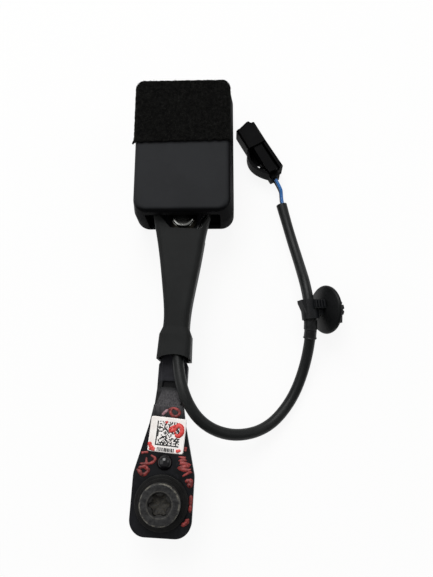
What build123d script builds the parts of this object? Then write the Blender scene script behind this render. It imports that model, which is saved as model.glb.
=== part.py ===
from build123d import *
import os
from math import cos, radians, sin, tan

# Seat belt buckle on a stamped stalk, with its anchor bolt and sensor cable.
# The row lies as it would on a bench: +Y from the anchor bolt to the buckle head, +Z up, out of
# the front cover, and the origin at the free end of the bolt's thread, on the bolt's axis.
# All sizes are millimetres. Places called "head" are measured from the pivot rivet, places
# called "stalk" from the bolt along the stalk, which leans a little to the right.

# ---- stalk and anchor bolt ----
stalk_reach = 121.9  # bolt axis to pivot rivet
stalk_lean = 3.1  # degrees to the right of +Y
stalk_sheet = 3.5  # thickness of the stamping
plate_under = 15.0  # underside of the anchor plate above the thread's end
plate_half = 12.4  # half-width of the anchor plate
plate_foot = 13.2  # bolt axis to the plate's lower edge
plate_corner = 6.5  # plan radius at the ends of that edge
plate_shoulder = 10.5  # where the plate starts to narrow
plate_waist = 30.0  # where the plate's taper eases into the neck
plate_waist_half = 7.5
plate_sweep = 9.0  # plan radius where the taper starts and ends
neck_half = 6.3
neck_start = 37.0  # start of the joggle
neck_low = 45.0  # end of the joggle
neck_end = 55.0
flange_drop = 8.0  # height of the turned-down flanges, with the sheet
bend_radius = 1.6
coin_depth = 0.9  # coined step across the neck
coin_width = 2.4
waist_half = 3.7
waist_start = 60.5
eye_radius = 8.6

bolt_thread_radius = 5.0
bolt_shoulder_radius = 6.0
bolt_head_radius = 8.0
bolt_head_height = 5.0
bolt_tip_chamfer = 1.0
thread_end = 13.0  # end of the thread, where the groove of the retaining ring starts
groove_radius = 4.3
socket_depth = 3.4
socket_radius = 4.4
socket_lobe = 0.95
flat_washer_radius = 10.7
flat_washer_thick = 1.5
wave_washer_radius = 9.3
wave_washer_thick = 0.7
retainer_radius = 8.4
retainer_thick = 1.4
recess_margin = 0.4  # round the retaining ring, in the plate's underside
stud_reach = 15.2  # bolt axis to locating stud
stud_radius = 3.2
stud_rise = 2.2
stud_shank_radius = 2.6  # inside the plate
stud_peg_radius = 2.4
stud_peg_length = 3.6  # below the plate
stud_neck_radius = 2.1  # of the groove between peg and plate
stud_neck = 0.3
stud_tip = 0.5  # chamfer of the peg
label_width = 13.6
label_height = 13.9
label_thick = 0.15
label_reach = 25.9  # bolt axis to the label's middle
label_turn = 3.2  # degrees askew to the stalk

# ---- clearances ----
running = 0.05  # turning and sliding fits in metal
play = 0.05  # between flat faces that turn on each other
slip = 0.15  # plastic in a plastic or sheet-metal guide
hold = 0.02  # between round pieces that are riveted or clipped together
skin = 0.05  # glue line under the felt
free_gap = 0.3  # between pieces that pass each other

# ---- head: housing ----
head_width = 46.4  # at the joint between the covers
front_width = 42.8  # where the sloping flanks would meet the front
head_thick = 27.0
head_low = -1.0  # lower end of the housing, from the pivot
head_length = 66.0
wall = 1.9
low_corner = 6.2  # plan radius at the stalk end
top_corner = 5.0  # plan radius at the tongue end
front_edge = 2.2
rear_edge = 4.5
parting = 13.5  # height of the joint between the covers
opening_half = 17.0  # opening for the stalk in the lower end
opening_low = 4.5
opening_high = 22.0
felt_thick = 1.0
felt_start = 32.1  # lower edge of the felt, from the pivot
felt_wrap = 1.7  # how far the felt turns down over the edges
hook_thick = 1.6
hook_half = 3.0
hook_height = 4.0  # above the joint
hook_root = 5.0  # below the joint
nib_low = 2.2  # above the joint
nib_high = 3.2
nib_reach = 0.6

# ---- head: frame and mechanism ----
frame_under = 8.0  # underside of the frame's base
frame_sheet = 2.5
frame_half = 15.0
frame_wall_start = 14.0
frame_wall_high = 20.0  # top edge of the tall part of the walls
frame_wall_break = 43.0  # where the walls step down
frame_end = 56.3
lug_radius = 9.0
rivet_radius = 4.0
rivet_head_radius = 5.2
rivet_head_height = 3.0
rivet_head_edge = 1.3
rivet_foot_radius = 6.0
rivet_foot_thick = 2.0
pivot_washer_radius = 6.3
pivot_washer_thick = 0.9
mouth_half = 12.0
mouth_height = 5.0
guide_roof = 0.8
guide_lip = 1.6  # floor of the mouth below the tongue's path
guide_wall_start = 44.8
guide_wall = 1.5
button_gap = 0.5  # between the button's body and its arms
button_height = 7.1
button_wall = 1.5
button_front = 2.5
button_start = 50.3
button_proud = 0.8
button_travel = 6.0
arm_thick = 1.5
arm_height = 5.0
arm_start = 31.8
arm_stop = 0.5  # arm to the inside of the end wall
bar_radius = 1.5
bar_place = 36.3
latch_place = 19.3
latch_pin_radius = 1.5
latch_half = 9.5
latch_sheet = 2.0
latch_nose_start = 40.0
latch_nose_end = 42.3
latch_nose_drop = 3.2
latch_height = 17.6
latch_window_half = 3.0
latch_window_start = 6.0  # past the pins
latch_window_end = 14.0
ejector_half = 7.0
ejector_start = 30.3
ejector_end = 44.3
ejector_height = 3.0
ejector_key_half = 4.0
ejector_travel = 10.0
tab_start = 17.3
tab_thick = 1.2
tab_half = 3.0
spring_wire = 0.35
button_spring_radius = 1.95
button_spring_place = 7.5
button_spring_turns = 6
ejector_spring_radius = 1.8
ejector_spring_turns = 6
pocket_half = 2.6
pocket_depth = 10.0
magnet_radius = 1.2
magnet_height = 1.4
switch_half = 8.0
switch_start = 22.0
switch_end = 46.0
switch_wall = 1.0
board_thick = 1.0
board_margin = 0.3
sensor_size = 4.0
sensor_height = 1.3
rib_half = 1.0
rib_inset = 4.0  # of the rear cover's ribs, from the frame's edge
lead_radius = 0.75

# ---- sleeve on the stalk ----
sleeve_wall = 1.0
sleeve_start = 1.8  # past the end of the neck
sleeve_end = 0.7  # past the pivot
cuff_length = 10.6
cuff_step = 3.2  # length of the step from the cuff to the boot
# half-width, middle to the right of the stalk's axis, lowest and highest point
cuff_mouth = (7.2, 0.4, 4.8, 21.0)
cuff_root = (6.9, 0.5, 6.6, 20.8)
# the same, after the share of the boot's length at which the section lies
boot_sections = [
    (0.0, 5.6, 0.5, 8.4, 20.6),
    (0.15, 5.85, 0.5, 8.6, 20.5),
    (0.36, 7.3, 0.35, 8.7, 20.4),
    (0.61, 9.3, 0.1, 8.8, 20.4),
    (0.84, 11.3, -0.5, 8.8, 20.4),
    (1.0, 13.0, -0.6, 8.8, 20.4),
]
sleeve_corner = 2.6
sleeve_arch = 2.0
sleeve_arch_radius = 14.0
sleeve_arch_side = 1.0  # middle of the arch to the right of the stalk's axis
ear_start = 6.6  # before the pivot, where the two ears part
ear_root_left = 5.2  # inner edges of the two ears at their roots
ear_root_right = 8.6
ear_tip_half = 12.6

# ---- cable ----
cable_radius = 2.4
cable_route = [
    (6.0, 92.0, 16.75),
    (5.2, 75.5, 16.75),
    (4.9, 57.0, 16.9),
    (8.3, 41.0, 20.9),
    (16.0, 29.6, 18.0),
    (29.0, 24.8, 12.4),
    (43.5, 28.0, 5.4),
    (54.5, 39.5, 2.5),
    (61.0, 54.5, 4.2),
    (63.4, 70.5, 13.3),
    (62.0, 87.0, 14.3),
    (59.8, 102.5, 6.8),
    (56.6, 118.0, 2.4),
    (53.1, 133.3, 2.4),
]
cable_bore_radius = 1.9
cable_bore_depth = 8.0
wire_radius = 0.8
wire_spacing = 0.85  # half the distance between the two wires in the sleeving
wire_grip = 7.0  # how far the wires reach into the connector
wire_bend = 5.5  # from the bend of the wires to the connector's core
wire_drift = 0.4  # how far the lower wire lies to the left in the sleeving
tape_thick = 0.6
tape_length = 8.0

# ---- clip on the cable ----
clip_between = (cable_route[9], cable_route[10])  # the clip sits in the middle of this run
clip_tilt = 27.0  # degrees that the stem points down
clip_length = 8.4
clip_band = 1.2
clip_slack = 0.2
band_flare = 5.2  # reach of the band's flange, away from the stem
boss_half = 2.6
lock_start = -0.6  # ratchet housing on the band, along the stem
lock_end = 5.6
lock_rise = 0.9
lock_rib = 0.6
lock_rib_pitch = 1.45
stem_radius = 2.3
stem_end = 17.4
tooth_reach = 6.4
tooth_half = 2.6
tooth_count = 4
tooth_pitch = 2.0
tooth_thick = 0.7
tooth_tip = 1.2  # stem past the last tooth
disc_place = 5.6  # hub of the seal, from the cable's axis
disc_radius = 10.9
disc_hub_radius = 4.6
disc_sheet = 1.1
disc_dish = 2.6

# ---- connector ----
plug_place = (49.5, 147.8)  # rear end
plug_turn = 28.5  # degrees to the left of +Y
plug_length = 28.4
plug_left = 5.2
plug_right = 4.9
plug_height = 9.2
plug_edge = 0.8
plug_front = 16.8  # start of the full-width front block
plug_tongue = 1.9  # hood past the front
plug_core_half = 2.5
plug_core_height = 6.4
plug_core_edge = 0.6
plug_rear = 1.5  # core behind the rear end
plug_rail = 1.6
plug_rail_start = 1.0
plug_rail_splay = 0.5  # how much further out the rail is at its rear end
plug_floor = 1.6
plug_side_high = 5.4  # ledge between core and rail
plug_side_end = 13.0
plug_bow = 7.3  # furthest reach of the bowed guard
plug_bow_place = 13.0
plug_guard = 1.2
plug_guard_low = 0.8
plug_guard_high = 7.4
plug_guard_floor = 2.2
plug_window = 0.95  # radius of the two holes beside the core
plug_window_places = (8.8, 6.2)
cavity_low = 1.8  # heights of the two cavities, one above the other
cavity_high = 4.5
cavity_radius = 1.1
terminal_radius = 0.75
terminal_length = 20.0
seal_length = 3.0
seal_proud = 0.6
lever_half = 2.2
lever_thick = 0.9
lever_lift = 0.95  # gap between the lever and the core
lever_start = 1.0
lever_thumb = 2.0
lever_pivot_radius = 0.7
lever_pivot = 0.5  # hinge axis past the rear of the front block
retainer_plate = 1.2
retainer_half = 2.9
retainer_low = 0.8
retainer_high = 5.8

# ---- worked out from the values above ----
deck = frame_under + frame_sheet  # floor that the tongue slides on
strap_low = deck + play
strap_top = strap_low + stalk_sheet
plate_top = plate_under + stalk_sheet
recess_top = plate_under + retainer_thick + 2 * play
washer_low = plate_top + play
wave_low = washer_low + flat_washer_thick
bolt_seat = wave_low + wave_washer_thick
bolt_top = bolt_seat + bolt_head_height
head_top = head_low + head_length
end_inside = head_top - wall
mouth_top = deck + mouth_height
guide_top = mouth_top + guide_roof
button_low = guide_top + slip
button_top = button_low + button_height
button_end = head_top + button_proud
flank_slope = (head_width - front_width) / 2 / (head_thick - parting)
bar_height = frame_wall_high + bar_radius + running
arm_inner = frame_half + free_gap
button_half = arm_inner - button_gap
guide_half = frame_half
arm_outer = arm_inner + arm_thick
arm_low = bar_height - arm_height / 2
arm_high = bar_height + arm_height / 2
ejector_top = deck + ejector_height
spring_height = (button_low + button_top - button_wall) / 2
pivot_x = stalk_reach * sin(radians(stalk_lean))
pivot_y = stalk_reach * cos(radians(stalk_lean))
on_stalk = Rot(0, 0, -stalk_lean)
on_head = Pos(pivot_x, pivot_y, 0)
on_plug = Pos(plug_place[0], plug_place[1], 0) * Rot(0, 0, plug_turn)
beyond = head_thick + bolt_top  # cutters reach at least this far past what they cut


def slab(x0, x1, y0, y1, z0, z1):
    """A box between two corners."""
    middle = Pos((x0 + x1) / 2, (y0 + y1) / 2, (z0 + z1) / 2)
    return middle * Box(x1 - x0, y1 - y0, z1 - z0)


def post(radius, z0, z1, x=0.0, y=0.0):
    """A cylinder along Z."""
    return Pos(x, y, (z0 + z1) / 2) * Cylinder(radius, z1 - z0)


def rod_x(radius, x0, x1, y, z):
    """A cylinder along X."""
    return Pos((x0 + x1) / 2, y, z) * Rot(0, 90, 0) * Cylinder(radius, x1 - x0)


def rod_y(radius, y0, y1, x, z):
    """A cylinder along Y."""
    return Pos(x, (y0 + y1) / 2, z) * Rot(90, 0, 0) * Cylinder(radius, y1 - y0)


def side_profile(points, x0, x1):
    """A (y, z) outline, extruded along X."""
    face = make_face(Polyline(*[(0, y, z) for y, z in points], close=True))
    return Pos(x0, 0, 0) * extrude(face, amount=x1 - x0, dir=(1, 0, 0))


def plan_profile(points, z0, z1):
    """An (x, y) outline, extruded along Z."""
    face = make_face(Polyline(*points, close=True))
    return Pos(0, 0, z0) * extrude(face, amount=z1 - z0, dir=(0, 0, 1))


def both_sides(shape):
    """The shape and its mirror image across the middle."""
    return shape + mirror(shape, about=Plane.YZ)


# ---------------------------------------------------------------- stalk


def stalk_plan():
    """The flat outline of the stamping: foot, taper, neck, waist and eye."""
    half = [
        (plate_half, -plate_foot),
        (plate_half, plate_shoulder),
        (plate_waist_half, plate_waist),
        (neck_half, neck_start),
        (neck_half, neck_end),
        (waist_half, waist_start),
        (waist_half, stalk_reach - 3 * eye_radius),
        (eye_radius * 0.75, stalk_reach - eye_radius * 0.66),
        (eye_radius * 0.75, stalk_reach),
    ]
    outline = half + [(-x, y) for x, y in reversed(half)]
    strip = plan_profile(outline, strap_low - 1, plate_top + 1)
    upright = strip.edges().filter_by(Axis.Z)
    strip = fillet(upright.group_by(Axis.Y)[0], plate_corner)
    upright = strip.edges().filter_by(Axis.Z)
    bends = [e for e in upright if plate_shoulder - 1 < e.center().Y < plate_waist + 1]
    strip = fillet(bends, plate_sweep)
    return strip + post(eye_radius, strap_low - 1, plate_top + 1, 0, stalk_reach)


def stalk_strip():
    """The sheet seen from the side: plate, joggle, then straight to the eye."""
    top = [
        (-plate_foot - 1, plate_top),
        (neck_start, plate_top),
        (neck_low, strap_top),
        (stalk_reach + eye_radius + 1, strap_top),
    ]
    under = [(y, z - stalk_sheet) for y, z in reversed(top)]
    return side_profile(top + under, -plate_half - 1, plate_half + 1)


def neck_flange():
    """One turned-down edge of the neck, deepest between the joggle and the waist."""
    low = strap_top - flange_drop
    slope = (plate_top - strap_top) / (neck_low - neck_start)
    outline = [
        (neck_start + 2, plate_top - 2 * slope),
        (neck_start + 2, plate_under - 2 * slope),
        (neck_low + 1, low),
        (neck_end - 1, low),
        (neck_end, low + 1),
        (neck_end, strap_top),
        (neck_low, strap_top),
    ]
    return side_profile(outline, neck_half - 2.2, neck_half)


def neck_bends():
    """What the rounding of the two bends takes off the neck's upper corners."""
    slope = (plate_top - strap_top) / (neck_low - neck_start)
    path = Polyline(
        (0, neck_start + 1, plate_top - slope),
        (0, neck_low, strap_top),
        (0, neck_end + 1, strap_top),
    )
    inner = neck_half - bend_radius
    corner = Pos(neck_half, 0) * Rectangle(2 * bend_radius, 2 * bend_radius)
    corner = corner - Pos(inner, -bend_radius) * Circle(bend_radius)
    start = Plane(origin=path @ 0, x_dir=(1, 0, 0), z_dir=path % 0)
    return sweep(start * corner, path=path, transition=Transition.RIGHT)


def anchor_stalk():
    blank = stalk_plan() & stalk_strip()
    blank = blank + both_sides(neck_flange()) - both_sides(neck_bends())
    coin = slab(
        -waist_half,
        waist_half,
        neck_low + 0.4,
        neck_low + 0.4 + coin_width,
        strap_top - coin_depth,
        strap_top + 1,
    )
    bore = post(bolt_shoulder_radius + running, 0, plate_top + 1)
    bore = bore + post(retainer_radius + recess_margin, 0, recess_top)
    eye = post(rivet_radius + running, strap_low - 1, strap_top + 1, 0, stalk_reach)
    hole = post(stud_shank_radius, plate_under - 1, plate_top + 1, 0, stud_reach)
    return on_stalk * (blank - coin - bore - eye - hole)


def locating_stud():
    """A domed stud through the plate, with a peg that stops the stalk turning on its bolt."""
    ball = (stud_radius**2 + stud_rise**2) / (2 * stud_rise)
    dome = Pos(0, stud_reach, plate_top + stud_rise - ball) * Sphere(ball)
    dome = dome & post(stud_radius, plate_top, plate_top + stud_rise, 0, stud_reach)
    shank = post(stud_shank_radius, plate_under, plate_top, 0, stud_reach)
    neck_low_end = plate_under - stud_neck
    neck = post(stud_neck_radius, neck_low_end, plate_under, 0, stud_reach)
    peg = post(stud_peg_radius, plate_under - stud_peg_length, neck_low_end, 0, stud_reach)
    peg = chamfer(peg.edges().group_by(Axis.Z)[0], stud_tip)
    return on_stalk * (dome + shank + neck + peg)


def label():
    """The sticker, lying on the plate a little askew to the bolt."""
    sheet = Box(label_width, label_height, label_thick)
    sheet = fillet(sheet.edges().filter_by(Axis.Z), 0.8)
    return on_stalk * Pos(0, label_reach, plate_top + label_thick / 2) * Rot(0, 0, -label_turn) * sheet


def sleeve_ring(place, half, middle, low, high, inset):
    """One section of the sleeve, drawn in by the inset."""
    plane = Plane(origin=(middle, place, (low + high) / 2), x_dir=(1, 0, 0), z_dir=(0, 1, 0))
    width = 2 * (half - inset)
    depth = high - low - 2 * inset
    return plane * RectangleRounded(width, depth, sleeve_corner - inset * 0.6)


def sleeve_hull(inset):
    """The sleeve as a solid: a cuff, a step and a boot that widens to the head."""
    first = neck_end + sleeve_start
    root = first + cuff_length
    foot = root + cuff_step
    length = stalk_reach + sleeve_end - foot
    mouth = sleeve_ring(first, *cuff_mouth, inset)
    shoulder = sleeve_ring(root, *cuff_root, inset)
    rings = [
        sleeve_ring(foot + share * length, *section, inset) for share, *section in boot_sections
    ]
    cuff = loft(Sketch() + [mouth, shoulder])
    step = loft(Sketch() + [shoulder, rings[0]])
    return cuff + step + loft(Sketch() + rings)


def stalk_sleeve():
    """A tapered boot, open at both ends, with an arched cuff and two ears at the rivet."""
    boot = sleeve_hull(0) - sleeve_hull(sleeve_wall)
    arch_middle = neck_end + sleeve_start + sleeve_arch - sleeve_arch_radius
    arch = post(sleeve_arch_radius, strap_top, beyond, sleeve_arch_side, arch_middle)
    rim = stalk_reach - lug_radius - 1.4
    rear = slab(-beyond, beyond, rim, stalk_reach + beyond, 0, strap_top - 1.0)
    outline = [
        (-ear_root_left, stalk_reach - ear_start),
        (ear_root_right, stalk_reach - ear_start),
        (ear_tip_half, stalk_reach + sleeve_end + 1),
        (-ear_tip_half, stalk_reach + sleeve_end + 1),
    ]
    notch = plan_profile(outline, 0, beyond)
    return on_stalk * (boot - arch - rear - notch)


# ---------------------------------------------------------------- bolt


def star_socket(low, high):
    """A six-lobed drive recess, as the space it takes."""
    star = post(socket_radius - socket_lobe, low, high)
    for k in range(6):
        turn = radians(60 * k)
        place = socket_radius - socket_lobe
        star = star + post(socket_lobe, low, high, place * cos(turn), place * sin(turn))
    mouth = Pos(0, 0, high - 0.35) * Cone(socket_radius - 0.2, socket_radius + 0.5, 0.7)
    return star + mouth


def anchor_bolt():
    thread = post(bolt_thread_radius, 0, thread_end)
    thread = chamfer(thread.edges().group_by(Axis.Z)[0], bolt_tip_chamfer)
    thread = thread + post(groove_radius, thread_end, recess_top)
    shoulder = post(bolt_shoulder_radius, recess_top, bolt_seat)
    head = post(bolt_head_radius, bolt_seat, bolt_top)
    head = fillet(head.edges().group_by(Axis.Z)[-1], 0.7)
    return thread + shoulder + head - star_socket(bolt_top - socket_depth, bolt_top)


def washer(outer, inner, low, thick):
    """A flat ring with softened outer edges."""
    ring = post(outer, low, low + thick)
    ring = fillet(ring.edges(), thick * 0.2)
    return ring - post(inner, low - 1, low + thick + 1)


def flat_washer():
    return washer(flat_washer_radius, bolt_shoulder_radius, washer_low, flat_washer_thick)


def wave_washer():
    return washer(wave_washer_radius, bolt_shoulder_radius, wave_low, wave_washer_thick)


def retaining_ring():
    """A split plastic ring in the bolt's groove that keeps the bolt in the plate."""
    low = plate_under + play
    ring = washer(retainer_radius, groove_radius + hold, low, retainer_thick)
    slot = slab(-0.7, 0.7, 0, retainer_radius + 1, low - 1, low + retainer_thick + 1)
    return ring - slot


# ---------------------------------------------------------------- head: housing


def block_plan(half, grow, height):
    """The housing's outline in plan, with tighter corners at the tongue end."""
    middle = (head_low + head_top) / 2
    plan = Pos(0, middle) * Rectangle(2 * half, head_length + 2 * grow)
    plan = fillet(plan.vertices().group_by(Axis.Y)[-1], top_corner + grow)
    plan = fillet(plan.vertices().group_by(Axis.Y)[0], low_corner + grow)
    return Pos(0, 0, height) * plan


def rounded_block(grow):
    """The housing's outer form, larger all round by grow, or smaller if grow is negative."""
    wide = block_plan(head_width / 2 + grow, grow, parting)
    half = front_width / 2 + grow - grow * flank_slope
    narrow = block_plan(half, grow, head_thick + grow)
    block = loft(Sketch() + [wide, narrow], ruled=True)
    block = block + extrude(wide, amount=parting + grow, dir=(0, 0, -1))
    block = fillet(block.faces().sort_by(Axis.Z)[-1].edges(), front_edge + grow)
    return fillet(block.faces().sort_by(Axis.Z)[0].edges(), rear_edge + grow)


def inside_half(height):
    """Half the width between the housing's inner walls."""
    return head_width / 2 - wall - max(0, height - parting) * flank_slope


def housing():
    """Both covers in one: a shell with the stalk's opening and the tongue's window."""
    shell = rounded_block(0) - rounded_block(-wall)
    low_end = slab(
        -opening_half,
        opening_half,
        head_low - 1,
        head_low + wall + 1,
        opening_low,
        opening_high,
    )
    low_end = fillet(low_end.edges().filter_by(Axis.Y), 1.5)
    window = slab(
        -guide_half - slip,
        guide_half + slip,
        end_inside - 1,
        head_top + 1,
        deck - guide_lip - slip,
        button_top + free_gap,
    )
    return shell - low_end - window


def cover_hook(place):
    """A snap hook that stands up from the rear cover beside its wall."""
    face = inside_half(parting + hook_height) - slip
    back = face - hook_thick
    start = place - hook_half
    end = place + hook_half
    foot = slab(back, inside_half(0), start, end, parting - hook_root, parting)
    finger = slab(back, face, start, end, parting, parting + hook_height)
    reach = inside_half(parting + nib_low) + nib_reach
    nib = slab(face, reach, start + 1, end - 1, parting + nib_low, parting + nib_high)
    return both_sides(foot + finger + nib)


def hook_pocket(place):
    """The pocket in the front cover that a hook snaps into."""
    pocket = slab(
        inside_half(parting + hook_height) - slip,
        inside_half(parting + nib_low) + nib_reach + slip,
        place - hook_half + 1 - slip,
        place + hook_half - 1 + slip,
        parting + nib_low - slip,
        parting + nib_high + slip,
    )
    return both_sides(pocket)


hook_places = (12.0, 46.0)


def front_cover():
    half = head_width
    cover = housing() & slab(-half, half, head_low - 1, head_top + 1, parting, head_thick)
    inside = head_thick - wall
    middle = frame_half - frame_sheet / 2
    rib = slab(
        middle - rib_half,
        middle + rib_half,
        frame_wall_start + 1,
        bar_place - button_travel - bar_radius - 2,
        frame_wall_high,
        inside,
    )
    cover = cover + both_sides(rib)
    for place in hook_places:
        cover = cover - hook_pocket(place)
    return on_head * cover


def rear_cover():
    half = head_width
    cover = housing() & slab(-half, half, head_low - 1, head_top + 1, 0, parting)
    middle = frame_half - rib_inset
    rib = slab(
        middle - rib_half,
        middle + rib_half,
        frame_wall_start + 2,
        frame_end - 2,
        wall,
        frame_under,
    )
    cover = cover + both_sides(rib)
    for place in hook_places:
        cover = cover + cover_hook(place)
    return on_head * cover


def felt_pad():
    """A felt patch stuck to the front cover and turned down over its edges."""
    half = head_width
    layer = rounded_block(felt_thick) - rounded_block(skin)
    keep = slab(
        -half,
        half,
        felt_start,
        head_top - front_edge / 2,
        head_thick - felt_wrap,
        head_thick + felt_thick,
    )
    return on_head * (layer & keep)


# ---------------------------------------------------------------- head: frame and pivot


def buckle_frame():
    """A steel channel: base with a rivet lug, two stepped walls, an ejector slot and a tab."""
    base = plan_profile(
        [
            (-lug_radius, 0),
            (lug_radius, 0),
            (lug_radius, frame_wall_start - 4),
            (frame_half, frame_wall_start),
            (frame_half, frame_end),
            (-frame_half, frame_end),
            (-frame_half, frame_wall_start),
            (-lug_radius, frame_wall_start - 4),
        ],
        frame_under,
        deck,
    )
    base = base + post(lug_radius, frame_under, deck)
    side = side_profile(
        [
            (frame_wall_start, deck),
            (frame_end, deck),
            (frame_end, mouth_top),
            (frame_wall_break, mouth_top),
            (frame_wall_break, frame_wall_high),
            (frame_wall_start + 3, frame_wall_high),
            (frame_wall_start, frame_wall_high - 4),
        ],
        frame_half - frame_sheet,
        frame_half,
    )
    tab = slab(-tab_half, tab_half, tab_start, tab_start + tab_thick, frame_under, ejector_top)
    slot = slab(
        -ejector_key_half - slip,
        ejector_key_half + slip,
        tab_start + tab_thick,
        ejector_end - 0.8,
        frame_under - 1,
        deck + 1,
    )
    rivet = post(rivet_radius + hold, frame_under - 1, deck + 1)
    pin = rod_x(
        latch_pin_radius + running, -frame_half - 1, frame_half + 1, latch_place, latch_height
    )
    return on_head * (base + both_sides(side) - slot + tab - rivet - pin)


def pivot_rivet():
    """The round-edged rivet that joins the stalk's eye to the frame."""
    seat = strap_top + play + pivot_washer_thick
    head = post(rivet_head_radius, seat, seat + rivet_head_height)
    head = fillet(head.edges().group_by(Axis.Z)[-1], rivet_head_edge)
    shank = post(rivet_radius, frame_under, seat)
    foot = post(rivet_foot_radius, frame_under - rivet_foot_thick, frame_under)
    foot = fillet(foot.edges().group_by(Axis.Z)[0], 0.8)
    return on_head * (head + shank + foot)


def pivot_washer():
    low = strap_top + play
    return on_head * washer(pivot_washer_radius, rivet_radius + hold, low, pivot_washer_thick)


def tongue_guide():
    """The plastic mouth that leads the tongue in, with a roof and a spring wall behind it."""
    floor = deck - guide_lip
    bezel = slab(-guide_half, guide_half, frame_end, head_top - 0.2, floor, guide_top)
    mouth = slab(-mouth_half, mouth_half, frame_end - 1, head_top + 1, deck, mouth_top)
    roof = slab(-guide_half, guide_half, guide_wall_start, frame_end, mouth_top, guide_top)
    wall_top = button_top - button_wall - slip
    half = button_half - button_wall - slip
    back = slab(
        -half, half, guide_wall_start, guide_wall_start + guide_wall, mouth_top, wall_top
    )
    return on_head * (bezel - mouth + roof + back)


# ---------------------------------------------------------------- head: moving pieces


def release_button():
    """A hollow button with two side arms that carry the lock bar."""
    body = slab(
        -button_half, button_half, button_start, button_end, button_low, button_top
    )
    front = [
        e for e in body.edges() if e.center().Y > button_end - 0.1
    ]
    body = fillet(front, 0.8)
    hollow = slab(
        -button_half + button_wall,
        button_half - button_wall,
        button_start - 1,
        button_end - button_front,
        button_low - 1,
        button_top - button_wall,
    )
    arm = slab(
        arm_inner, arm_outer, arm_start, end_inside - arm_stop, arm_low, arm_high
    )
    bridge = slab(
        button_half - 0.5,
        arm_inner + 0.5,
        button_start + 2,
        end_inside - arm_stop,
        arm_low,
        arm_high,
    )
    hole = rod_x(bar_radius + slip, arm_inner - 1, arm_outer + 1, bar_place, bar_height)
    return on_head * (body - hollow + both_sides(bridge + arm - hole))


def lock_bar():
    """The hardened bar that the button draws off the latch."""
    bar = rod_x(bar_radius, -arm_outer - 0.6, arm_outer + 0.6, bar_place, bar_height)
    return on_head * chamfer(bar.edges(), 0.3)


def latch():
    """The pawl: a plate that swings on two pins, with a nose that drops into the tongue."""
    low = latch_height - latch_sheet / 2
    high = latch_height + latch_sheet / 2
    outline = [
        (latch_place - 2.2, low),
        (latch_nose_start, low),
        (latch_nose_start + 0.6, low - latch_nose_drop + 1.6),
        (latch_nose_end - 0.3, low - latch_nose_drop + 1.6),
        (latch_nose_end, high),
        (latch_place - 2.2, high),
    ]
    plate = side_profile(outline, -latch_half, latch_half)
    window = slab(
        -latch_window_half,
        latch_window_half,
        latch_place + latch_window_start,
        latch_place + latch_window_end,
        low - 1,
        high + 1,
    )
    reach = frame_half - 0.2
    pins = rod_x(latch_pin_radius, -reach, reach, latch_place, latch_height)
    return on_head * (plate - window + pins)


def spring_pocket():
    """The space behind the ejector's nose that holds its spring."""
    return slab(
        -pocket_half,
        pocket_half,
        ejector_start - 1,
        ejector_start + pocket_depth,
        frame_under - 1,
        ejector_top - 0.7,
    )


def ejector():
    """The slide that pushes the tongue out, keyed in the base's slot."""
    block = slab(
        -ejector_half, ejector_half, ejector_start, ejector_end, deck + running, ejector_top
    )
    block = chamfer(block.edges().filter_by(Axis.X).group_by(Axis.Z)[-1], 0.6)
    key = slab(
        -ejector_key_half,
        ejector_key_half,
        ejector_start,
        ejector_end - 1.3,
        frame_under,
        deck + running,
    )
    magnet = post(
        magnet_radius,
        frame_under - 1,
        frame_under + magnet_height,
        0,
        ejector_end - 1.3 - magnet_radius - 0.3,
    )
    return on_head * (block + key - spring_pocket() - magnet)


def sensor_magnet():
    place = ejector_end - 1.3 - magnet_radius - 0.3
    return on_head * post(
        magnet_radius, frame_under, frame_under + magnet_height, 0, place
    )


def coil_spring(radius, turns, start, end, x, z):
    """A round-wire compression spring along Y between two seats."""
    length = end - start - 2 * spring_wire
    path = Helix(pitch=length / turns, height=length, radius=radius)
    section = Plane(origin=path @ 0, z_dir=path % 0) * Circle(spring_wire)
    wire = sweep(section, path=path, is_frenet=True)
    return Pos(x, start + spring_wire, z) * Rot(-90, 0, 0) * wire


def button_springs():
    start = guide_wall_start + guide_wall
    end = button_end - button_front
    pair = [
        coil_spring(button_spring_radius, button_spring_turns, start, end, x, spring_height)
        for x in (-button_spring_place, button_spring_place)
    ]
    return on_head * Compound(children=pair)


def ejector_spring():
    start = tab_start + tab_thick
    end = ejector_start + pocket_depth
    middle = deck + 0.1
    return on_head * coil_spring(
        ejector_spring_radius, ejector_spring_turns, start, end, 0, middle
    )


# ---------------------------------------------------------------- head: buckle switch


def switch_housing():
    """A tray under the frame's base that holds the sensor board."""
    low = wall
    high = frame_under - free_gap
    tray = slab(-switch_half, switch_half, switch_start, switch_end, low, high)
    tray = fillet(tray.edges().filter_by(Axis.Z), 1.0)
    inside = slab(
        -switch_half + switch_wall,
        switch_half - switch_wall,
        switch_start + switch_wall,
        switch_end - switch_wall,
        low + switch_wall,
        high + 1,
    )
    return on_head * (tray - inside - lead_passage())


def lead_passage():
    """The notch where the two leads enter the tray."""
    return slab(
        -lead_radius * 3,
        lead_radius * 3,
        switch_start - 1,
        switch_start + switch_wall + 1,
        lead_height - lead_radius - slip,
        frame_under,
    )


lead_height = wall + switch_wall + board_thick + lead_radius + 0.1


def switch_board():
    margin = switch_wall + board_margin
    board = slab(
        -switch_half + margin,
        switch_half - margin,
        switch_start + margin,
        switch_end - margin,
        wall + switch_wall,
        wall + switch_wall + board_thick,
    )
    return on_head * board


def hall_sensor():
    low = wall + switch_wall + board_thick
    place = ejector_end - ejector_travel
    half = sensor_size / 2
    return on_head * slab(-half, half, place - half, place + half, low, low + sensor_height)


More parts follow.
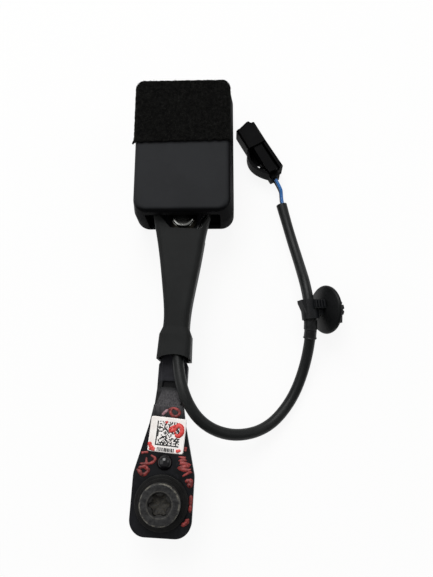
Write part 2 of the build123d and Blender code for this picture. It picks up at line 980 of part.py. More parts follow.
def rounded_path(points, share=0.45):
    """Straight runs joined by arcs as large as their runs allow, and the arcs' radii."""
    radii = []
    for before, corner, after in zip(points, points[1:], points[2:]):
        into = Vector(*corner) - Vector(*before)
        out = Vector(*after) - Vector(*corner)
        half_turn = radians(into.get_angle(out)) / 2
        radii.append(share * min(into.length, out.length) / tan(half_turn))
    return FilletPolyline(*points, radius=radii), radii


def tube(points, radius):
    """A round solid along the rounded path."""
    path, radii = rounded_path(points)
    section = Plane(origin=path @ 0, z_dir=path % 0) * Circle(radius)
    return sweep(section, path=path), radii


def switch_leads():
    """The two leads from the board, past the frame's lug, to the mouth of the sleeve."""
    route = [
        (0.0, 26.0, lead_height),
        (0.6, 19.0, lead_height),
        (10.6, 11.8, lead_height),
        (11.7, 4.2, 11.6),
        (8.6, -3.0, 17.0),
        (5.6, -10.2, 16.5),
    ]
    across = [(1.0, 0.0), (0.88, 0.47), (0.88, 0.53), (1.0, 0.1), (1.0, 0.0), (1.0, 0.0)]
    leads = []
    for side in (-1, 1):
        apart = side * (lead_radius + 0.1)
        points = [
            (x + apart * dx, y + apart * dy, z) for (x, y, z), (dx, dy) in zip(route, across)
        ]
        leads.append(tube(points, lead_radius)[0])
    return on_head * Compound(children=leads)


# ---------------------------------------------------------------- cable and clip


def cable_tube():
    """Smooth sleeving, open at its far end, where the two wires come out."""
    solid, radii = tube(cable_route, cable_radius)
    print("cable arcs, mm:", [round(r, 1) for r in radii])
    end = Vector(*cable_route[-1])
    along = (end - Vector(*cable_route[-2])).normalized()
    bore = Plane(origin=end, z_dir=along) * Pos(0, 0, -cable_bore_depth / 2 + 0.5)
    return solid - bore * Cylinder(cable_bore_radius, cable_bore_depth + 1)


def clip_frame():
    """The clip's own axes: Y along the cable, X along the stem."""
    before, after = (Vector(*point) for point in clip_between)
    along = (after - before).normalized()
    stem = Vector(cos(radians(clip_tilt)), 0, -sin(radians(clip_tilt)))
    stem = (stem - along * stem.dot(along)).normalized()
    return Plane(origin=(before + after) * 0.5, x_dir=stem, z_dir=stem.cross(along))


def tape_wrap():
    """Tape round the sleeving, just below the clip."""
    path = rounded_path(cable_route)[0]
    before, after = (Vector(*point) for point in clip_between)
    middle = path.param_at_point((before + after) * 0.5)
    upper = middle - (clip_length / 2 + 2 * free_gap) / path.length
    lower = upper - tape_length / path.length
    stretch = path.trim(lower, upper)
    start = Plane(origin=stretch @ 0, z_dir=stretch % 0)
    outer = sweep(start * Circle(cable_radius + tape_thick), path=stretch)
    return outer - sweep(start * Circle(cable_radius), path=stretch)


def clip_lock():
    """The ribbed ratchet housing on top of the band."""
    half = clip_length / 2
    top = cable_radius + clip_slack + clip_band + lock_rise
    lock = slab(lock_start, lock_end, 0, half - 0.3, cable_radius, top)
    for k in range(4):
        x = lock_start + 0.3 + k * lock_rib_pitch
        lock = lock + slab(x, x + lock_rib, 0.5, half - 0.6, top, top + lock_rib)
    return lock


def fir_tree():
    """The stem with its swept-back teeth."""
    stem = rod_x(stem_radius, 0, stem_end, 0, 0)
    stem = chamfer(stem.edges().group_by(Axis.X)[-1], 0.8)
    for k in range(tooth_count):
        tip = stem_end - tooth_tip - k * tooth_pitch
        back = tip - tooth_thick
        half = [(tip, 0), (back - 0.5, tooth_reach), (back - 1.1, tooth_reach), (back, 0)]
        tooth = plan_profile(half, -tooth_half, tooth_half)
        stem = stem + tooth + mirror(tooth, about=Plane.XZ)
    return stem


def cable_clip():
    """A ratchet band round the cable, with a flange, and a stem for a panel hole."""
    outer = cable_radius + clip_slack + clip_band
    half = clip_length / 2
    band = rod_y(outer, -half, half, 0, 0)
    boss = slab(0, disc_place, -boss_half, boss_half, -boss_half, boss_half)
    outline = [
        (0, half),
        (-band_flare, half),
        (-band_flare, half - clip_band),
        (-cable_radius, -half),
        (0, -half),
    ]
    flange = plan_profile(outline, -clip_band, cable_radius)
    bore = rod_y(cable_radius + clip_slack, -half - 1, half + 1, 0, 0)
    return clip_frame() * (band + boss + flange + clip_lock() + fir_tree() - bore)


def seal_disc():
    """A rubber seal on the stem, dished towards the panel."""
    inner = stem_radius
    rim = disc_radius - 0.8
    outline = [
        (disc_place, inner),
        (disc_place, disc_hub_radius),
        (disc_place + disc_dish - 0.6, rim),
        (disc_place + disc_dish + 0.4, disc_radius),
        (disc_place + disc_dish + 1.4, disc_radius - 0.3),
        (disc_place + disc_dish + disc_sheet, rim - 0.9),
        (disc_place + disc_sheet + 0.3, disc_hub_radius),
        (disc_place + disc_sheet + 0.8, inner),
    ]
    face = make_face(Polyline(*[(x, 0, r) for x, r in outline], close=True))
    return clip_frame() * revolve(face, axis=Axis.X)


# ---------------------------------------------------------------- wires and connector


def on_plug_point(x, y, z):
    """A place in the connector's own frame, in the row's."""
    turn = radians(plug_turn)
    return (
        plug_place[0] + x * cos(turn) - y * sin(turn),
        plug_place[1] + x * sin(turn) + y * cos(turn),
        z,
    )


def wire(side, height):
    """One wire from inside the sleeving to its terminal; the two lie one above the other."""
    end = Vector(*cable_route[-1])
    along = (end - Vector(*cable_route[-2])).normalized()
    drift = Vector(-along.Y, along.X, 0) * (wire_drift if side < 0 else 0)
    aside = Vector(0, 0, side * wire_spacing) + drift
    start = end - along * (cable_bore_depth - free_gap) + aside
    leave = end + along + aside
    points = [
        (start.X, start.Y, start.Z),
        (leave.X, leave.Y, leave.Z),
        on_plug_point(0, -plug_rear - wire_bend, height),
        on_plug_point(0, wire_grip, height),
    ]
    return tube(points, wire_radius)[0]


def signal_wire():
    return wire(1, cavity_high)


def return_wire():
    return wire(-1, cavity_low)


def bowed_edge(inset):
    """The curve of the connector's guard, from the front block to the core's rear."""
    front = (-plug_left + 0.4 + inset, plug_front + 1)
    middle = (-plug_bow + inset, plug_bow_place)
    rear = (-plug_core_half + 0.3, 0.4 + inset * 1.6)
    return front, middle, rear


def plug_guard_wall():
    """The bowed guard on the left, with a thin floor and two holes beside the core."""
    outer = bowed_edge(0)
    inner = bowed_edge(plug_guard)
    ends = Line(outer[2], inner[2]) + Line(inner[0], outer[0])
    bow = make_face(Spline(*outer) + Spline(*reversed(inner)) + ends)
    back = Line(outer[2], (0, outer[2][1])) + Line((0, outer[2][1]), (0, outer[0][1]))
    floor = make_face(Spline(*outer) + back + Line((0, outer[0][1]), outer[0]))
    guard = extrude(bow, amount=plug_guard_high - plug_guard_low, dir=(0, 0, 1))
    guard = guard + extrude(floor, amount=plug_guard_floor - plug_guard_low, dir=(0, 0, 1))
    guard = Pos(0, 0, plug_guard_low) * guard
    for place in plug_window_places:
        x = -plug_core_half - plug_window - 0.05
        guard = guard - post(plug_window, 0, plug_guard_floor + 1, x, place)
    return guard


def plug_rail_wall():
    """The rail on the right, with its floor and the ledge beside the core."""
    outer_rear = plug_right + plug_rail_splay
    outline = [
        (plug_right - plug_rail, plug_front),
        (plug_right, plug_front),
        (outer_rear, plug_rail_start),
        (outer_rear - plug_rail, plug_rail_start),
    ]
    rail = plan_profile(outline, 0, plug_height - plug_edge)
    floor = [(0, plug_front), (plug_right, plug_front), (outer_rear, plug_rail_start), (0, 0)]
    rail = rail + plan_profile(floor, 0, plug_floor)
    reach = outer_rear - plug_rail_splay * plug_side_end / plug_front
    ledge = [
        (0, plug_side_end),
        (reach - 0.2, plug_side_end),
        (outer_rear - 0.2, plug_rail_start),
        (0, plug_rail_start),
    ]
    return rail + plan_profile(ledge, 0, plug_side_high)


def connector_housing():
    """Two-way connector body: front block with a hood, core, rail and bowed guard."""
    front = slab(-plug_left, plug_right, plug_front, plug_length, 0, plug_height)
    front = chamfer(front.edges().filter_by(Axis.Y), plug_edge)
    hood = plan_profile(
        [
            (-plug_left + 0.8, plug_length),
            (1.6, plug_length + plug_tongue),
            (2.6, plug_length + plug_tongue),
            (3.6, plug_length),
        ],
        retainer_high,
        plug_height - plug_edge,
    )
    core = slab(-plug_core_half, plug_core_half, -plug_rear, plug_front, 0, plug_core_height)
    core = chamfer(core.edges().filter_by(Axis.Y), plug_core_edge)
    body = front + hood + core + plug_rail_wall() + plug_guard_wall()
    for height in (cavity_low, cavity_high):
        body = body - rod_y(cavity_radius, -plug_rear - 1, seal_length, 0, height)
        body = body - rod_y(terminal_radius + slip, seal_length, plug_length + 3, 0, height)
        body = body - rod_y(wire_radius + slip, seal_length, wire_grip + 1, 0, height)
    seat = slab(
        -retainer_half,
        retainer_half,
        plug_length - retainer_plate,
        plug_length + 3,
        retainer_low,
        retainer_high,
    )
    socket = lever_barrel(slip)
    return on_plug * (body - seat - socket)


def lever_barrel(grow):
    """The round end of the lever, on its hinge axis."""
    half = lever_half + grow
    height = plug_core_height + lever_lift + lever_thick / 2
    return rod_x(lever_pivot_radius + grow, -half, half, plug_front + lever_pivot, height)


def connector_lever():
    """The lock lever along the top of the core, hinged in the front block."""
    low = plug_core_height + lever_lift
    end = plug_front + lever_pivot
    lever = slab(-lever_half, lever_half, lever_start, end, low, low + lever_thick)
    thumb_end = lever_start + lever_thumb
    thumb = slab(-lever_half, lever_half, lever_start, thumb_end, low, plug_height)
    return on_plug * (lever + thumb + lever_barrel(0))


def terminal_retainer():
    """The front plate that locks the terminals in."""
    plate = slab(
        -retainer_half + slip,
        retainer_half - slip,
        plug_length - retainer_plate,
        plug_length - 0.1,
        retainer_low + slip,
        retainer_high - slip,
    )
    for height in (cavity_low, cavity_high):
        plate = plate - rod_y(terminal_radius, 0, plug_length + 3, 0, height)
    return on_plug * plate


def terminals():
    end = plug_length - retainer_plate
    pair = [
        rod_y(terminal_radius, end - terminal_length, end, 0, height)
        for height in (cavity_low, cavity_high)
    ]
    return on_plug * Compound(children=pair)


def wire_seals():
    pair = []
    for height in (cavity_low, cavity_high):
        ring = rod_y(cavity_radius, -plug_rear - seal_proud, seal_length, 0, height)
        pair.append(ring - rod_y(wire_radius, -beyond, beyond, 0, height))
    return on_plug * Compound(children=pair)


nodes = {
    "anchor_stalk": anchor_stalk,
    "locating_stud": locating_stud,
    "label": label,
    "stalk_sleeve": stalk_sleeve,
    "anchor_bolt": anchor_bolt,
    "flat_washer": flat_washer,
    "wave_washer": wave_washer,
    "retaining_ring": retaining_ring,
    "front_cover": front_cover,
    "rear_cover": rear_cover,
    "felt_pad": felt_pad,
    "buckle_frame": buckle_frame,
    "pivot_rivet": pivot_rivet,
    "pivot_washer": pivot_washer,
    "tongue_guide": tongue_guide,
    "release_button": release_button,
    "button_springs": button_springs,
    "lock_bar": lock_bar,
    "latch": latch,
    "ejector": ejector,
    "ejector_spring": ejector_spring,
    "sensor_magnet": sensor_magnet,
    "switch_housing": switch_housing,
    "switch_board": switch_board,
    "hall_sensor": hall_sensor,
    "switch_leads": switch_leads,
    "cable_tube": cable_tube,
    "tape_wrap": tape_wrap,
    "cable_clip": cable_clip,
    "seal_disc": seal_disc,
    "signal_wire": signal_wire,
    "return_wire": return_wire,
    "connector_housing": connector_housing,
    "connector_lever": connector_lever,
    "terminal_retainer": terminal_retainer,
    "terminals": terminals,
    "wire_seals": wire_seals,
}

os.makedirs("parts", exist_ok=True)
for name, make in nodes.items():
    export_step(make(), f"parts/{name}.step")
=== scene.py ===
import bpy
import bmesh
import math
import random
from mathutils import Matrix, Vector, noise


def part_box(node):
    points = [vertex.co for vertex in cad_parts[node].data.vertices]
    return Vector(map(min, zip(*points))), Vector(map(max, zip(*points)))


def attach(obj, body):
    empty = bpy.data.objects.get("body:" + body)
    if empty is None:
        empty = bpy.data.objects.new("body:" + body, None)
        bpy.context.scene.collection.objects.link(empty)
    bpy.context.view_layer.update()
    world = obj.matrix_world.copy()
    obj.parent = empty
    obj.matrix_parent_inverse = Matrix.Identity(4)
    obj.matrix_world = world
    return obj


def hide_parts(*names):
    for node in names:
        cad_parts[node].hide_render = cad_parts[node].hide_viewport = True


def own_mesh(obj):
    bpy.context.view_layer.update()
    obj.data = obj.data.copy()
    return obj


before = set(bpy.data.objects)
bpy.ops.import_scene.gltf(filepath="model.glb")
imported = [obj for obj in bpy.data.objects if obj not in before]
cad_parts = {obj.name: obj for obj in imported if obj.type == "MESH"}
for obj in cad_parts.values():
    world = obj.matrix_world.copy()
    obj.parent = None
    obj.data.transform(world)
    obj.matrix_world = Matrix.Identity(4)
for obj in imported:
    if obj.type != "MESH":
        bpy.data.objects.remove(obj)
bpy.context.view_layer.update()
scene = bpy.context.scene
mm = 0.001

cameraLook = {
    "place": (27.38, 31.38, 240.0),  # mm
    "right": (0.99968709, 0.0, -0.02501427),
    "up": (0.00614318, 0.9693745, 0.24551038),
    "back": (0.02424819, -0.24558723, 0.96907117),
    "focalInHeights": 0.9064,  # focal length over the picture's height
}


def addObject(name, data):
    obj = bpy.data.objects.new(name, data)
    scene.collection.objects.link(obj)
    return obj


def meshFrom(name, bm):
    mesh = bpy.data.meshes.new(name)
    bm.to_mesh(mesh)
    bm.free()
    return mesh


def makeCamera(look):
    data = bpy.data.cameras.new("camera")
    camera = addObject("camera", data)
    turn = Matrix([look[axis] for axis in ("right", "up", "back")]).transposed().to_4x4()
    camera.matrix_world = Matrix.Translation(Vector(look["place"]) * mm) @ turn
    data.sensor_fit = "VERTICAL"
    data.sensor_height = 24.0
    data.lens = data.sensor_height * look["focalInHeights"]
    data.clip_start = 0.01
    data.clip_end = 20.0
    scene.camera = camera


makeCamera(cameraLook)
print("camera done")


def linear(hexColour):
    # sRGB hex to the linear values that the shaders take
    channels = [int(hexColour[i : i + 2], 16) / 255 for i in (1, 3, 5)]
    return tuple(c / 12.92 if c <= 0.04045 else ((c + 0.055) / 1.055) ** 2.4 for c in channels) + (1.0,)


def emptyTree(owner):
    # an emptied node tree, as the function that adds to it
    owner.use_nodes = True
    tree = owner.node_tree
    tree.nodes.clear()

    def add(kind, inputs=(), out=0, **settings):
        # adds a node, sets or links its inputs, by name or in order, and gives back one output
        node = tree.nodes.new("ShaderNode" + kind)
        for key, value in settings.items():
            setattr(node, key, value)
        named = inputs if isinstance(inputs, dict) else dict(enumerate(inputs))
        for key, value in named.items():
            if isinstance(value, bpy.types.NodeSocket):
                tree.links.new(value, node.inputs[key])
            else:
                node.inputs[key].default_value = value
        return node.outputs[out] if len(node.outputs) else node

    return add


smooth = {"interpolation_type": "SMOOTHSTEP"}
colours = {"out": 2, "data_type": "RGBA"}  # a mix takes colours at 6 and 7, numbers at 2 and 3
plus = {"operation": "ADD"}
minus = {"operation": "SUBTRACT"}
times = {"operation": "MULTIPLY"}
timesPlus = {"operation": "MULTIPLY_ADD"}
largest = {"operation": "MAXIMUM"}
unsigned = {"operation": "ABSOLUTE"}


def makeMaterial(paint, look):
    # the look's noises (size in mm, detail, roughness, stretch), its uneven roughness, then the paint's inputs
    material = bpy.data.materials.new(look["name"])
    add = emptyTree(material)
    place = add("TexCoord", out="Object")
    grain = {}
    for key, (size, detail, rough, *stretch) in look["noises"].items():
        vector = add("VectorMath", (place, stretch), **times) if stretch else place
        noiseInputs = {"Vector": vector, "Scale": 1 / (size * mm), "Detail": detail, "Roughness": rough}
        grain[key] = add("TexNoise", noiseInputs)
    inputs = look.get("shader", {})
    if "rough" in look:
        grain["rough"] = add("MapRange", (grain["patch"], 0.3, 0.7, *look["rough"]))
        inputs = {**inputs, "Roughness": grain["rough"]}
    shader = add("BsdfPrincipled", {**inputs, **paint(add, place, grain, look)})
    add("OutputMaterial", {"Surface": shader})
    return material


def coloured(add, look, tone, *layers):
    # the look's two tones, then each layer's colour where its mask is set
    colour = add("Mix", {0: tone, 6: linear(look["dark"]), 7: linear(look["light"])}, **colours)
    for mask, key in layers:
        colour = add("Mix", {0: mask, 6: colour, 7: linear(look[key])}, **colours)
    return colour


def awayFrom(add, value, place):
    away = add("Math", (value, place), **minus)
    return add("Math", (away,), **unsigned)


def relief(add, *layers):
    # bumps laid over each other: height, depth in mm, strength
    below = {}
    for height, depth, strength in layers:
        bump = add("Bump", {"Height": height, "Distance": depth * mm, "Strength": strength, **below})
        below = {"Normal": bump}
    return bump


cableLook = {
    "radius": 2.4,
    "bore": 1.9,
    "boreDepth": 8.0,
    "sides": 32,
    "step": 0.6,
    "flatten": 0.035,  # how oval the sleeving is pressed along its length
    "waves": 0.035,  # how often that changes, for each step
    "twist": 0.03,  # how far it turns, for each step
    "flare": 0.16,  # how much wider it is at the open end
    "flareLength": 14.0,
    "edge": 0.12,  # how far its edge is eased
    "route": [
        (6.0, 92.0, 16.75),
        (5.2, 75.5, 16.75),
        (4.9, 57.0, 16.9),
        (8.3, 41.0, 20.9),
        (16.0, 29.6, 18.0),
        (29.0, 24.8, 12.4),
        (43.5, 28.0, 5.4),
        (54.5, 39.5, 2.5),
        (61.0, 54.5, 4.2),
        (63.4, 70.5, 13.3),
        (62.0, 87.0, 14.3),
        (59.8, 102.5, 6.8),
        (56.6, 118.0, 2.4),
        (53.1, 133.3, 2.4),
    ],
}
clipLook = {
    "between": (9, 10),  # places of the route that the clip sits between
    "tilt": 27.0,  # degrees that the stem points down
    "length": 8.4,
    "hold": 1.5,  # how far past the band the sleeving is kept round
    "clearance": 0.6,  # from the band to the tape
    "tapeLength": 8.0,
    "tapeThick": 0.5,
    "tapeLower": 0.62,  # thickness of every second turn, as a share
    "tapeEdges": (0.0, 3.9, 7.6),  # edges of the turns of tape, from its upper end
    "tapeLip": 0.1,  # how far those edges stand up
    "tapeLipWidth": 0.25,
    "tapeWrinkle": (0.07, 1.4, 0.06),  # height, frequency round the cable and per step along it
    "crease": 0.28,  # depth of the folds that the band presses into the sleeving
    "creases": [(2.2, 0.3, 1.0), (4.4, 0.35, 0.8)],  # angle, width and share of each
    "creaseFrom": 3.5,  # from the band to the folds' deepest place
    "creaseLength": 5.5,
}


def splineLine(name, route, bevel=0.0):
    # a smooth line with the route's places as its control points
    data = bpy.data.curves.new(name, "CURVE")
    data.dimensions = "3D"
    spline = data.splines.new("NURBS")
    spline.points.add(len(route) - 1)
    for point, place in zip(spline.points, route):
        point.co = (*(c * mm for c in place), 1.0)
    spline.order_u = 3
    spline.use_endpoint_u = True
    data.resolution_u = 24
    data.bevel_depth = bevel * mm
    data.bevel_resolution = 6
    data.use_fill_caps = True
    return addObject(name, data)


def splinePoints(name, route):
    # the line's own points, read back as Blender gives them
    obj = splineLine(name, route)
    mesh = bpy.data.meshes.new_from_object(obj)
    points = [v.co.copy() for v in mesh.vertices]
    bpy.data.meshes.remove(mesh)
    bpy.data.objects.remove(obj)
    return points


def alongLine(points):
    # the distance of each point from the first
    lengths = [0.0]
    for a, b in zip(points, points[1:]):
        lengths.append(lengths[-1] + (b - a).length)
    return lengths


def pointAt(points, lengths, want):
    j = 0
    while j < len(lengths) - 2 and lengths[j + 1] < want:
        j += 1
    share = (want - lengths[j]) / max(1e-12, lengths[j + 1] - lengths[j])
    return points[j].lerp(points[j + 1], share)


def resample(points, step):
    lengths = alongLine(points)
    count = max(2, round(lengths[-1] / step))
    return [pointAt(points, lengths, lengths[-1] * i / count) for i in range(count + 1)]


def wayAt(points, i):
    return (points[min(i + 1, len(points) - 1)] - points[max(i - 1, 0)]).normalized()


def framesAlong(points):
    # a frame at each point, carried along without twisting
    frames = []
    tangent = (points[1] - points[0]).normalized()
    normal = tangent.orthogonal().normalized()
    for i, point in enumerate(points):
        new = wayAt(points, i)
        normal = (tangent.rotation_difference(new) @ normal).normalized()
        normal = (normal - new * normal.dot(new)).normalized()
        tangent = new
        frames.append((point, tangent, normal, tangent.cross(normal)))
    return frames


def ringAt(place, sides, radiusAt):
    # a ring round a point of a line; radiusAt gives the radius for an angle, in mm
    point, tangent, normal, other = place
    ring = []
    for k in range(sides):
        angle = math.tau * k / sides
        side = normal * math.cos(angle) + other * math.sin(angle)
        ring.append(point + side * (radiusAt(angle) * mm))
    return ring


def levelRing(z, sides, radiusAt):
    # a ring round the bolt's axis
    place = (Vector((0, 0, z * mm)), Vector((0, 0, 1)), Vector((1, 0, 0)), Vector((0, 1, 0)))
    return ringAt(place, sides, radiusAt)


def joinRings(rings, closed=False, bm=None):
    # rings of points joined by bridges, capped or closed on themselves, in the mesh given or a new one
    bm = bm or bmesh.new()
    rows = []
    for ring in rings:
        row = [bm.verts.new(p) for p in ring]
        rows.append([bm.edges.new((a, b)) for a, b in zip(row, row[1:] + row[:1])])
    pairs = list(zip(rows, rows[1:]))
    if closed:
        pairs.append((rows[-1], rows[0]))
    for a, b in pairs:
        bmesh.ops.bridge_loops(bm, edges=a + b)
    if not closed:
        bmesh.ops.holes_fill(bm, edges=rows[0])
        bmesh.ops.holes_fill(bm, edges=rows[-1])
    return bm


def newObject(name, bm, material, body, slotName=None, shadeSmooth=True):
    bmesh.ops.recalc_face_normals(bm, faces=bm.faces)
    mesh = meshFrom(name, bm)
    for face in mesh.polygons:
        face.use_smooth = shadeSmooth
    mesh.materials.append(made[material])
    obj = addObject(name, mesh)
    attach(obj, body)
    return obj


stageLook = {
    "floor": "#ffffff",
    "paper": "#f0f0ee",
    "floorSize": 6.0,  # m
    "floorDrop": 0.2,  # mm under the object
    "shadowShare": 0.1,  # how much of the floor's own shading the camera sees
    "overhead": 0.32,  # the world's light from straight above
    "low": 0.6,  # the world's light from low behind the object
    "front": 0.12,  # share of that from low in front
    "lamps": [  # name, place, watts, size
        ("key", (-0.15, 1.0, 1.15), 16.0, 0.9),
        ("fill", (-0.9, 0.1, 1.0), 4.0, 1.2),
        ("side", (1.0, 0.3, 0.8), 1.0, 0.6),
    ],
    "aim": (0.03, 0.09, 0.0),
}


def makeFloor(look):
    bm = bmesh.new()
    bmesh.ops.create_grid(bm, x_segments=1, y_segments=1, size=look["floorSize"])
    bmesh.ops.translate(bm, vec=(0, 0, -look["floorDrop"] * mm), verts=bm.verts)
    floor = addObject("floor", meshFrom("floor", bm))
    material = bpy.data.materials.new("white paper floor")
    add = emptyTree(material)
    seen = add("LightPath", out="Is Camera Ray")
    for ray in ("Is Glossy Ray", "Is Transmission Ray"):
        seen = add("Math", (seen, add("LightPath", out=ray)), use_clamp=True, **plus)
    share = add("Math", (seen, 1.0 - look["shadowShare"]), **times)
    paper = add("BsdfDiffuse", {"Color": linear(look["paper"])})
    glow = add("Emission", {"Color": linear(look["floor"]), "Strength": 1.0})
    add("OutputMaterial", {"Surface": add("MixShader", (share, paper, glow))})
    floor.data.materials.append(material)


def makeWorld(look):
    # white where it is seen, or mirrored low down, and soft light from low behind elsewhere
    world = bpy.data.worlds.new("studio")
    scene.world = world
    add = emptyTree(world)
    way = add("TexCoord", out="Generated")
    back, up = (add("SeparateXYZ", (way,), out=axis) for axis in (1, 2))
    behind = add("MapRange", (back, -0.6, 0.8, look["front"], 1.0), **smooth)
    behind = add("Math", (behind, look["low"]), **times)
    high = add("MapRange", (up, 0.12, 0.7), **smooth)
    level = add("Mix", {0: high, 2: behind, 3: look["overhead"]})
    light = add("Background", {"Color": (1, 1, 1, 1), "Strength": level})
    white = add("Background", {"Color": (1, 1, 1, 1), "Strength": 1.0})
    lowDown = add("MapRange", (up, 0.02, 0.14, 1.0, 0.0), **smooth)
    mirrored = [add("LightPath", out=ray) for ray in ("Is Glossy Ray", "Is Transmission Ray")]
    mirrored = add("Math", (add("Math", mirrored, **plus), lowDown), **times)
    seen = add("Math", (add("LightPath", out="Is Camera Ray"), mirrored), use_clamp=True, **plus)
    add("OutputWorld", {"Surface": add("MixShader", (seen, light, white))})


def makeLamps(look):
    for name, place, power, size in look["lamps"]:
        data = bpy.data.lights.new(name, "AREA")
        data.energy = power
        data.size = size
        lamp = addObject(name, data)
        lamp.location = place
        aim = Vector(look["aim"]) - Vector(place)
        lamp.rotation_euler = aim.to_track_quat("-Z", "Y").to_euler()


makeFloor(stageLook)
makeWorld(stageLook)
makeLamps(stageLook)
scene.view_settings.view_transform = "Standard"
print("stage done")


def plainLook(row, patch=9.0, stretch=(), strength=0.5, dust=(), **shader):
    # the look of a plain surface, from its row of the table
    name, dark, light, low, high, fine, depth = row
    look = {"name": name, "dark": dark, "light": light, "rough": (low, high), "shader": shader}
    look |= {"tones": (0.35, 0.68), "relief": [("fine", depth, strength)]}
    look["noises"] = {"patch": (patch, 4.0, 0.5), "fine": (fine, 2.0, 0.5, *stretch)}
    if dust:
        most, size, look["dust"] = dust
        look["noises"]["dust"] = (size, 5.0, 0.5)
        look["layers"] = [("dust", 0.58, 0.74, most, "dust")]
    return look


def paintPlain(add, place, grain, look):
    # two tones in patches, then layers of dust or rubs, each where its own noise is high
    layers = []
    for key, low, high, most, colour in look.get("layers", ()):
        layers.append((add("MapRange", (grain[key], low, high, 0.0, most), **smooth), colour))
    tone = add("MapRange", (grain["patch"], *look["tones"]), **smooth)
    bumps = [(grain[key], depth, strength) for key, depth, strength in look["relief"]]
    inputs = {"Base Color": coloured(add, look, tone, *layers), "Normal": relief(add, *bumps)}
    if look.get("dulled"):
        inputs["Roughness"] = add("Math", (grain["rough"], layers[0][0]), **plus)
    return inputs


metal = {"Metallic": 1.0}
specularLevel = "Specular IOR Level"
surfaces = {  # name, dark and light, roughness from and to, grain and its depth in mm, what else differs
    "frame": (
        "steel sheet, zinc plated", "#8a8b8c", "#b0b1b0", 0.28, 0.42, 0.3, 0.01,
        {"stretch": (1, 0.2, 1), **metal},
    ),
    "spring": ("spring steel wire, drawn", "#77787a", "#97989a", 0.22, 0.35, 0.2, 0.005, metal),
    "acetal": ("acetal, moulded", "#141516", "#1b1c1d", 0.35, 0.5, 0.4, 0.01, {}),
    "button": ("abs, moulded red", "#a81e18", "#b9271e", 0.38, 0.5, 0.3, 0.015, {}),
    "magnet": ("neodymium, nickel plated", "#b5b3ac", "#cfcdc6", 0.12, 0.2, 0.5, 0.003, metal),
    "board": ("circuit board, solder masked", "#12502c", "#1a6338", 0.3, 0.45, 0.25, 0.01, {}),
    "sensor": ("epoxy package, moulded", "#151516", "#1e1e20", 0.55, 0.65, 0.15, 0.01, {}),
    "leads": ("lead insulation, extruded pvc", "#101112", "#191a1b", 0.3, 0.42, 0.6, 0.008, {}),
    "retainer": ("natural nylon, moulded", "#bdb7a4", "#cdc8b8", 0.4, 0.55, 0.3, 0.01, {}),
    "terminal": ("brass, tin plated", "#a9a697", "#c2beae", 0.25, 0.4, 0.25, 0.005, metal),
    "washer": (
        "washer steel, black phosphate", "#0a0a0a", "#10100f", 0.38, 0.54, 0.3, 0.02,
        {"patch": 3.0, "dust": (0.22, 0.8, "#2a2824"), specularLevel: 0.2},
    ),
    "nylon": ("black nylon, moulded", "#090a0c", "#0e1013", 0.36, 0.48, 0.5, 0.01, {specularLevel: 0.22}),
    "rubber": (
        "seal rubber, moulded", "#040506", "#08090a", 0.36, 0.5, 0.4, 0.015,
        {"dust": (0.12, 0.9, "#22221f"), specularLevel: 0.16},
    ),
    "connector": ("connector pbt, moulded", "#040405", "#070708", 0.5, 0.62, 0.3, 0.012, {specularLevel: 0.04}),
    "rivet": ("rivet steel, cold headed bright", "#8d8e8b", "#b9bab6", 0.12, 0.24, 0.25, 0.006, metal),
    "ring": ("rivet washer, oiled steel", "#2b2925", "#47443c", 0.28, 0.4, 0.25, 0.006, metal),
    "stud": (
        "stud acetal, moulded glossy", "#08080a", "#0e0e11", 0.12, 0.22, 0.8, 0.01,
        {"dust": (0.16, 0.9, "#3a3735")},
    ),
    "tape": (
        "harness tape, pvc", "#0b0c0d", "#131415", 0.34, 0.5, 0.6, 0.06,
        {"patch": 1.6, "strength": 0.6, specularLevel: 0.25},
    ),
    "blue": ("wire insulation, blue pvc", "#174f8c", "#2268aa", 0.3, 0.4, 0.5, 0.01, {}),
    "black": ("wire insulation, black pvc", "#0d0d0e", "#161618", 0.32, 0.42, 0.5, 0.01, {}),
    "film": (
        "label, white film", "#efe8e4", "#f8f4f1", 0.4, 0.5, 0.6, 0.01,
        {"patch": 4.0, "dust": (0.2, 0.5, "#cbc0b9"), specularLevel: 0.3},
    ),
    "ink": ("label ink, thermal black", "#141414", "#242322", 0.45, 0.6, 0.2, 0.005, {}),
}
made = {key: makeMaterial(paintPlain, plainLook(row[:-1], **row[-1])) for key, row in surfaces.items()}

sleeveLook = {  # soft polypropylene: satin, with faint rub marks along its length
    "name": "boot polypropylene, moulded",
    "dark": "#191a1a",
    "light": "#212222",
    "scratch": "#343533",
    "tones": (0.32, 0.7),
    "rough": (0.5, 0.62),
    "dulled": True,  # the rubs are rougher too
    "noises": {"patch": (14.0, 4.0, 0.5), "fine": (0.5, 3.0, 0.5), "lines": (1.1, 3.0, 0.6, 1.0, 0.06, 1.0)},
    "layers": [("lines", 0.6, 0.72, 0.18, "scratch")],
    "relief": [("fine", 0.03, 0.35)],
    "shader": {specularLevel: 0.1},
}
tubeLook = {  # extruded PVC sleeving: smooth, with handling dust
    "name": "sleeving, extruded pvc",
    "dark": "#0e1010",
    "light": "#151717",
    "dust": "#4a4945",
    "tones": (0.32, 0.7),
    "rough": (0.38, 0.5),
    "noises": {"patch": (8.0, 4.0, 0.5), "fine": (0.5, 3.0, 0.5), "cloud": (1.3, 6.0, 0.72)},
    "layers": [("cloud", 0.55, 0.75, 0.14, "dust")],
    "relief": [("patch", 0.2, 0.2), ("fine", 0.02, 0.3)],
    "shader": {specularLevel: 0.22},
}
dirtLook = {  # old grease and road dirt: brown, dull and lumpy
    "name": "grime, dried grease",
    "dark": "#0b0a07",
    "light": "#302c23",
    "tones": (0.42, 0.64),
    "rough": (0.6, 0.85),
    "noises": {"patch": (0.8, 6.0, 0.75)},
    "relief": [("patch", 0.12, 0.7)],
}
for key, look in (("sleeve", sleeveLook), ("tube", tubeLook), ("grime", dirtLook)):
    made[key] = makeMaterial(paintPlain, look)


